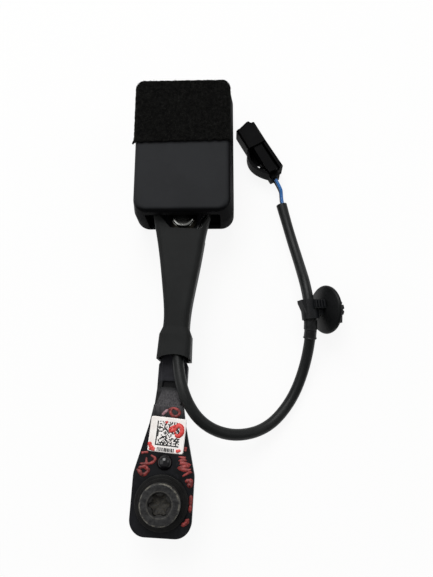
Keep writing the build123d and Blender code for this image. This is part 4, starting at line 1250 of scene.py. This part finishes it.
markLook = {
    "thick": 0.02,
    "rise": 0.012,  # how much higher each stroke is than the one before it
    "uneven": 0.35,  # how much the strokes' width wanders
    "ends": 0.35,  # width at their ends, as a share
    "taper": 1 / 7,  # length of those, as a share
    "steel": [  # strokes on the plate: width, then places in mm from the bolt along the stalk
        (1.0, -9.7, 18.2, -8.6, 18.6, -6.9, 18.7),
        (1.1, -5.7, 17.7, -3.9, 16.5, -4.5, 15.2, -6.3, 14.4, -10.0, 14.2),
        (1.4, -7.4, 16.7, -7.4, 14.5, -7.7, 13.1, -6.3, 12.0, -6.6, 11.2, -8.3, 9.9, -9.7, 11.1, -11.1, 12.1),
        (1.3, -10.4, 12.5, -8.4, 13.1, -7.2, 13.2),
        (1.5, 5.5, 17.7, 8.7, 16.9, 5.9, 15.6, 10.3, 14.5, 5.8, 13.3, 9.5, 12.6, 10.9, 12.3, 7.5, 10.2),
        (1.8, 8.8, 8.2, 11.0, 8.8, 11.0, 6.9, 9.8, 7.5),
        (1.2, 8.1, 21.6, 8.1, 19.9),
        (1.4, 11.5, 3.4, 11.6, 1.4, 11.6, -0.6, 11.5, -3.1),
        (1.6, 10.4, -5.4, 10.6, -6.7, 8.4, -8.0),
        (1.2, -0.1, 36.0, 1.6, 36.6, 3.6, 36.3, 4.8, 35.0, 3.8, 33.6, 1.9, 33.7, 0.9, 35.2, 1.7, 36.2),
    ],
    "pale": [  # strokes at the top of the plate
        (1.2, -2.4, 33.7, -1.3, 34.9, -0.1, 36.0),
    ],
    "film": [  # strokes on the label, in mm from its middle
        (1.7, 2.9, 1.0, 2.9, 3.0, 4.0, 4.2, 5.4, 3.8, 5.9, 2.2, 5.4, 0.6, 4.2, 0.0, 3.0, 0.8),
        (1.3, 0.4, 1.9, 1.6, 1.9, 2.6, 2.2),
        (1.0, 0.4, 2.0, 1.4, 3.1, 3.0, 3.9),
        (1.2, -1.2, 5.3, -0.5, 4.6),
        (1.5, -6.9, -3.4, -6.2, -5.0, -4.4, -6.2),
        (0.9, -6.8, -6.0, -5.6, -6.2, -4.3, -6.4),
        (1.2, 4.3, -6.1, 6.2, -5.4),
    ],
}


def strokeLine(points, count=26):
    # a rounded stroke through a few places
    line = []
    for i in range(count + 1):
        t = i / count * (len(points) - 1)
        k = min(int(t), len(points) - 2)
        f = t - k
        four = zip(points[max(k - 1, 0)], points[k], points[k + 1], points[min(k + 2, len(points) - 1)])
        curve = [
            0.5 * (2 * b + (c - a) * f + (2 * a - 5 * b + 4 * c - d) * f * f + (3 * b - a - 3 * c + d) * f**3)
            for a, b, c, d in four
        ]
        line.append(Vector((*curve, 0)))
    return line


def addStroke(bm, look, points, width, height, thick):
    line = strokeLine(points)
    rings = []
    for i, place in enumerate(line):
        way = wayAt(line, i)
        across = Vector((-way.y, way.x, 0))
        q = i / (len(line) - 1)
        uneven = 1 + look["uneven"] * noise.noise(Vector((place.x * 1.3, place.y * 1.3, 7.0)))
        near = min(1.0, q / look["taper"], (1 - q) / look["taper"])
        half = width / 2 * (look["ends"] + (1 - look["ends"]) * near) * uneven
        left, right = place + across * half, place - across * half
        left.z, right.z = height(left.x, left.y), height(right.x, right.y)
        up = Vector((0, 0, thick + 0.04 * q))
        rings.append([p * mm for p in (left, right, right + up, left + up)])
    joinRings(rings, bm=bm)


def plateHeight(x, y):
    return stalkLook["plateTop"] - 0.005


def filmHeight(x, y):
    return labelHeight(x, y) + labelLook["thick"] + 0.005


def makeMarks(look):
    kinds = [
        ("plateMarks", "steel", plateHeight, lean, "markSteel", "coated_steel"),
        ("neckMarks", "pale", plateHeight, lean, "markPale", "coated_steel"),
        ("labelMarks", "film", filmHeight, labelPlace, "markFilm", "paper_label"),
    ]
    for name, strokes, height, place, material, slotName in kinds:
        bm = bmesh.new()
        for k, (width, *places) in enumerate(look[strokes]):
            points = list(zip(places[::2], places[1::2]))
            addStroke(bm, look, points, width, height, look["thick"] + look["rise"] * k)
        bmesh.ops.transform(bm, matrix=place, verts=bm.verts)
        newObject(name, bm, material, "stalk", slotName)


makeMarks(markLook)
print("label and marks done")


[c * mm for c in cableLook["route"][0]]
[tuple(p) for p in cableLine]
